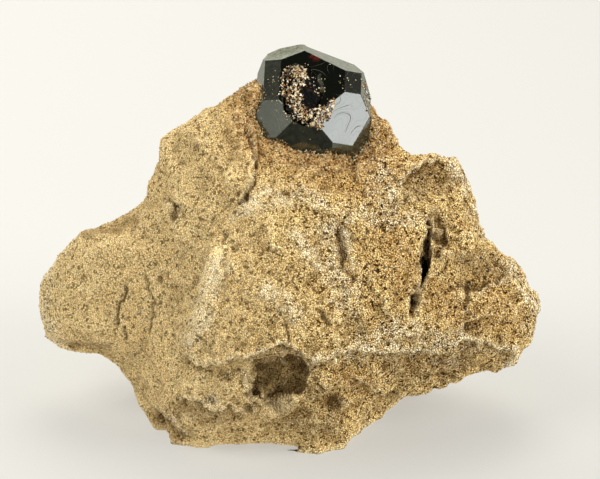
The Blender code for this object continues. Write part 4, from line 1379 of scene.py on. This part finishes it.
CREAM = (0.760, 0.640, 0.410, 1.0)
TAN = (0.560, 0.395, 0.175, 1.0)
AMBER = (0.480, 0.270, 0.085, 1.0)
RUST = (0.270, 0.110, 0.035, 1.0)
UMBER = (0.090, 0.048, 0.018, 1.0)
CHALK = (0.850, 0.790, 0.650, 1.0)
LINING_BLACK = (0.002, 0.002, 0.002, 1.0)

rock_grains.data.materials.append(make_grain_material(
    "rock grains", [(24, CREAM), (50, TAN), (14, AMBER), (4, RUST), (8, UMBER)], 0.9, 0.2))
collar_grains.data.materials.append(make_grain_material(
    "collar grains", [(16, CREAM), (34, TAN), (28, AMBER), (8, RUST), (14, UMBER)], 0.85, 0.25))
pocket_grains.data.materials.append(make_grain_material(
    "pocket grains", [(14, CHALK), (24, CREAM), (18, TAN), (12, RUST), (32, UMBER)], 0.35, 0.5))

# %% Pocket lining material
def make_lining_material():
    material, tree, shader = new_material("pocket lining")
    grain = use_group(tree, grain_group, {
        "Place": place_in_mm(tree), "Grain Size": 0.26, "Gap Width": 0.12})
    colour = blend_colours(tree, spread(tree, grain["Tone"], 0.90, 1.0, 0.0, 0.25), LINING_BLACK, UMBER)
    dress(tree, shader, colour, grain["Height"], 0.8, 0.08)
    shader.inputs["Roughness"].default_value = 0.45
    shader.inputs["Specular IOR Level"].default_value = 0.15
    return material


lining.data.materials.append(make_lining_material())

# %% [markdown]
# ## Floor, light and reflections
#
# The floor is a plain pale sheet that curves up behind the stone. It glows, and this is painted light: its
# glow is stronger at the back and on the left than at the front and on the right, and stronger to the stone
# than to the eye, so that it stays a calm tone and still fills the shade under the ledges. Soft panels stand
# high on the left, on the right, above, in front and behind, and the surroundings are pale. A polished dark
# crystal shows little colour of its own: what is seen on its faces is the room. So each group of faces needs
# something to reflect: bright cards on the right and left, and dark cards above and in front, which are seen
# only in reflections and cast no shadow. The panels on the right, above and in front would show as bright
# squares on those faces, so reflections don't see them.

# %% Floor
FLOOR_REACH = 900.0
FLOOR_BACK = 420.0
WALL_RADIUS = 160.0
WALL_HEIGHT = 500.0
FLOOR_PALE = (0.26, 0.256, 0.238, 1.0)
FLOOR_LIGHT = (1.0, 0.985, 0.93, 1.0)
GLOW_DEPTH, GLOW_FAR = (-45.0, 30.0), (0.39, 0.54)       # its own light grows from front to back
GLOW_ACROSS, GLOW_RIGHT = (-40.0, 40.0), (0.0, -0.09)    # and falls from left to right
FLOOR_BOUNCE = 0.5                           # how much more the floor gives to the stone than to the eye
CURVE_PARTS = 12


def make_floor():
    profile = [(-FLOOR_REACH, 0.0), (FLOOR_BACK, 0.0)]
    for turn in range(1, CURVE_PARTS + 1):
        angle = math.radians(90.0 * turn / CURVE_PARTS)
        profile.append((FLOOR_BACK + WALL_RADIUS * math.sin(angle), WALL_RADIUS * (1.0 - math.cos(angle))))
    profile.append((FLOOR_BACK + WALL_RADIUS, WALL_HEIGHT))
    corners = np.array([(x, y, z) for y, z in profile for x in (-FLOOR_REACH, FLOOR_REACH)])
    triangles = []
    for row in range(len(profile) - 1):
        first = row * 2
        triangles += [(first, first + 1, first + 3), (first, first + 3, first + 2)]
    floor = mesh_object("floor_sheet", corners, np.array(triangles), smooth=True)
    material, tree, shader = new_material("pale paper")
    shader.inputs["Base Color"].default_value = FLOOR_PALE
    shader.inputs["Roughness"].default_value = 0.9
    shader.inputs["Emission Color"].default_value = FLOOR_LIGHT
    across, back, _ = node(tree, "SeparateXYZ", {0: place_in_mm(tree)}).outputs
    glow = spread(tree, back, *GLOW_DEPTH, *GLOW_FAR)
    glow = maths(tree, "ADD", glow, spread(tree, across, *GLOW_ACROSS, *GLOW_RIGHT))
    unseen = maths(tree, "SUBTRACT", 1.0, node(tree, "LightPath", {}).outputs["Is Camera Ray"])
    glow = times(tree, glow, maths(tree, "ADD", 1.0, times(tree, unseen, FLOOR_BOUNCE)))
    tree.links.new(glow, shader.inputs["Emission Strength"])
    floor.data.materials.append(material)


make_floor()

# %% Light panels and cards
LOOK_AT = Vector((0.0, 0.0, 18.0))
WHITE = (1.0, 1.0, 1.0)
WARM_WHITE = (1.0, 0.985, 0.95)
COOL_WHITE = (0.98, 0.99, 1.15)
YELLOW_WHITE = (1.0, 0.99, 0.86)
ROOM_COLOUR = (1.0, 0.99, 0.96, 1.0)
ROOM_STRENGTH = 0.34


def aim(obj, way, distance, target=LOOK_AT):
    """Puts a panel at a distance from the target, in a direction, and turns it to face the target."""
    way = Vector(way).normalized()
    obj.location = (target + way * distance) * MM
    obj.rotation_euler = way.to_track_quat("Z", "Y").to_euler()


def light_panel(name, way, distance, width, height, radiance, colour=WHITE, reflected=True):
    """A soft panel; radiance is how bright it looks, where 1 is white paper in full light."""
    data = bpy.data.lights.new(name, "AREA")
    data.shape = "RECTANGLE"
    data.size = width * MM
    data.size_y = height * MM
    data.energy = radiance * math.pi * data.size * data.size_y
    data.color = colour
    panel = link(bpy.data.objects.new(name, data))
    panel.visible_glossy = reflected
    aim(panel, way, distance)


def card(name, way, distance, width, height, value, colour=WHITE):
    """A plain card of one brightness that only reflections see."""
    corners = [(-width, -height, 0), (width, -height, 0), (width, height, 0), (-width, height, 0)]
    flat = mesh_object(name, np.array(corners) / 2, np.array([(0, 1, 2), (0, 2, 3)]))
    aim(flat, way, distance, garnet_middle)
    material, _, shader = new_material(name)
    shader.inputs["Base Color"].default_value = (0.0, 0.0, 0.0, 1.0)
    shader.inputs["Specular IOR Level"].default_value = 0.0
    shader.inputs["Emission Color"].default_value = (*colour, 1.0)
    shader.inputs["Emission Strength"].default_value = value
    flat.data.materials.append(material)
    for kind in ("camera", "diffuse", "shadow", "transmission", "volume_scatter"):
        setattr(flat, "visible_" + kind, False)


light_panel("key_panel", (-0.58, -0.22, 0.80), 420, 210, 210, 6.4, WARM_WHITE)
light_panel("right_panel", (0.80, -0.30, 0.50), 330, 190, 190, 7.0, WARM_WHITE, reflected=False)
light_panel("top_panel", (0.05, 0.50, 0.86), 400, 220, 220, 5.4, WARM_WHITE, reflected=False)
light_panel("front_panel", (0.40, -0.88, 0.16), 480, 260, 160, 4.2, reflected=False)
card("bright_card", (0.94, -0.226, 0.249), 300, 110, 110, 5.4, COOL_WHITE)
light_panel("back_panel", (0.0, 0.75, 0.9), 520, 420, 200, 1.6, YELLOW_WHITE)
card("left_card", (-0.94, -0.19, 0.32), 300, 120, 120, 1.0)
card("dark_card_above", (0.04, 0.36, 0.95), 200, 150, 120, 0.02)
card("dim_card_above", (0.03, 0.45, 0.85), 240, 680, 330, 0.16)
card("dark_card_in_front", (-0.05, -0.85, -0.52), 40, 60, 34, 0.10)

world = bpy.data.worlds.new("pale_room")
world.use_nodes = True
room = world.node_tree.nodes["Background"]
room.inputs["Color"].default_value = ROOM_COLOUR
room.inputs["Strength"].default_value = ROOM_STRENGTH
bpy.context.scene.world = world
bpy.context.scene.view_settings.view_transform = "Standard"
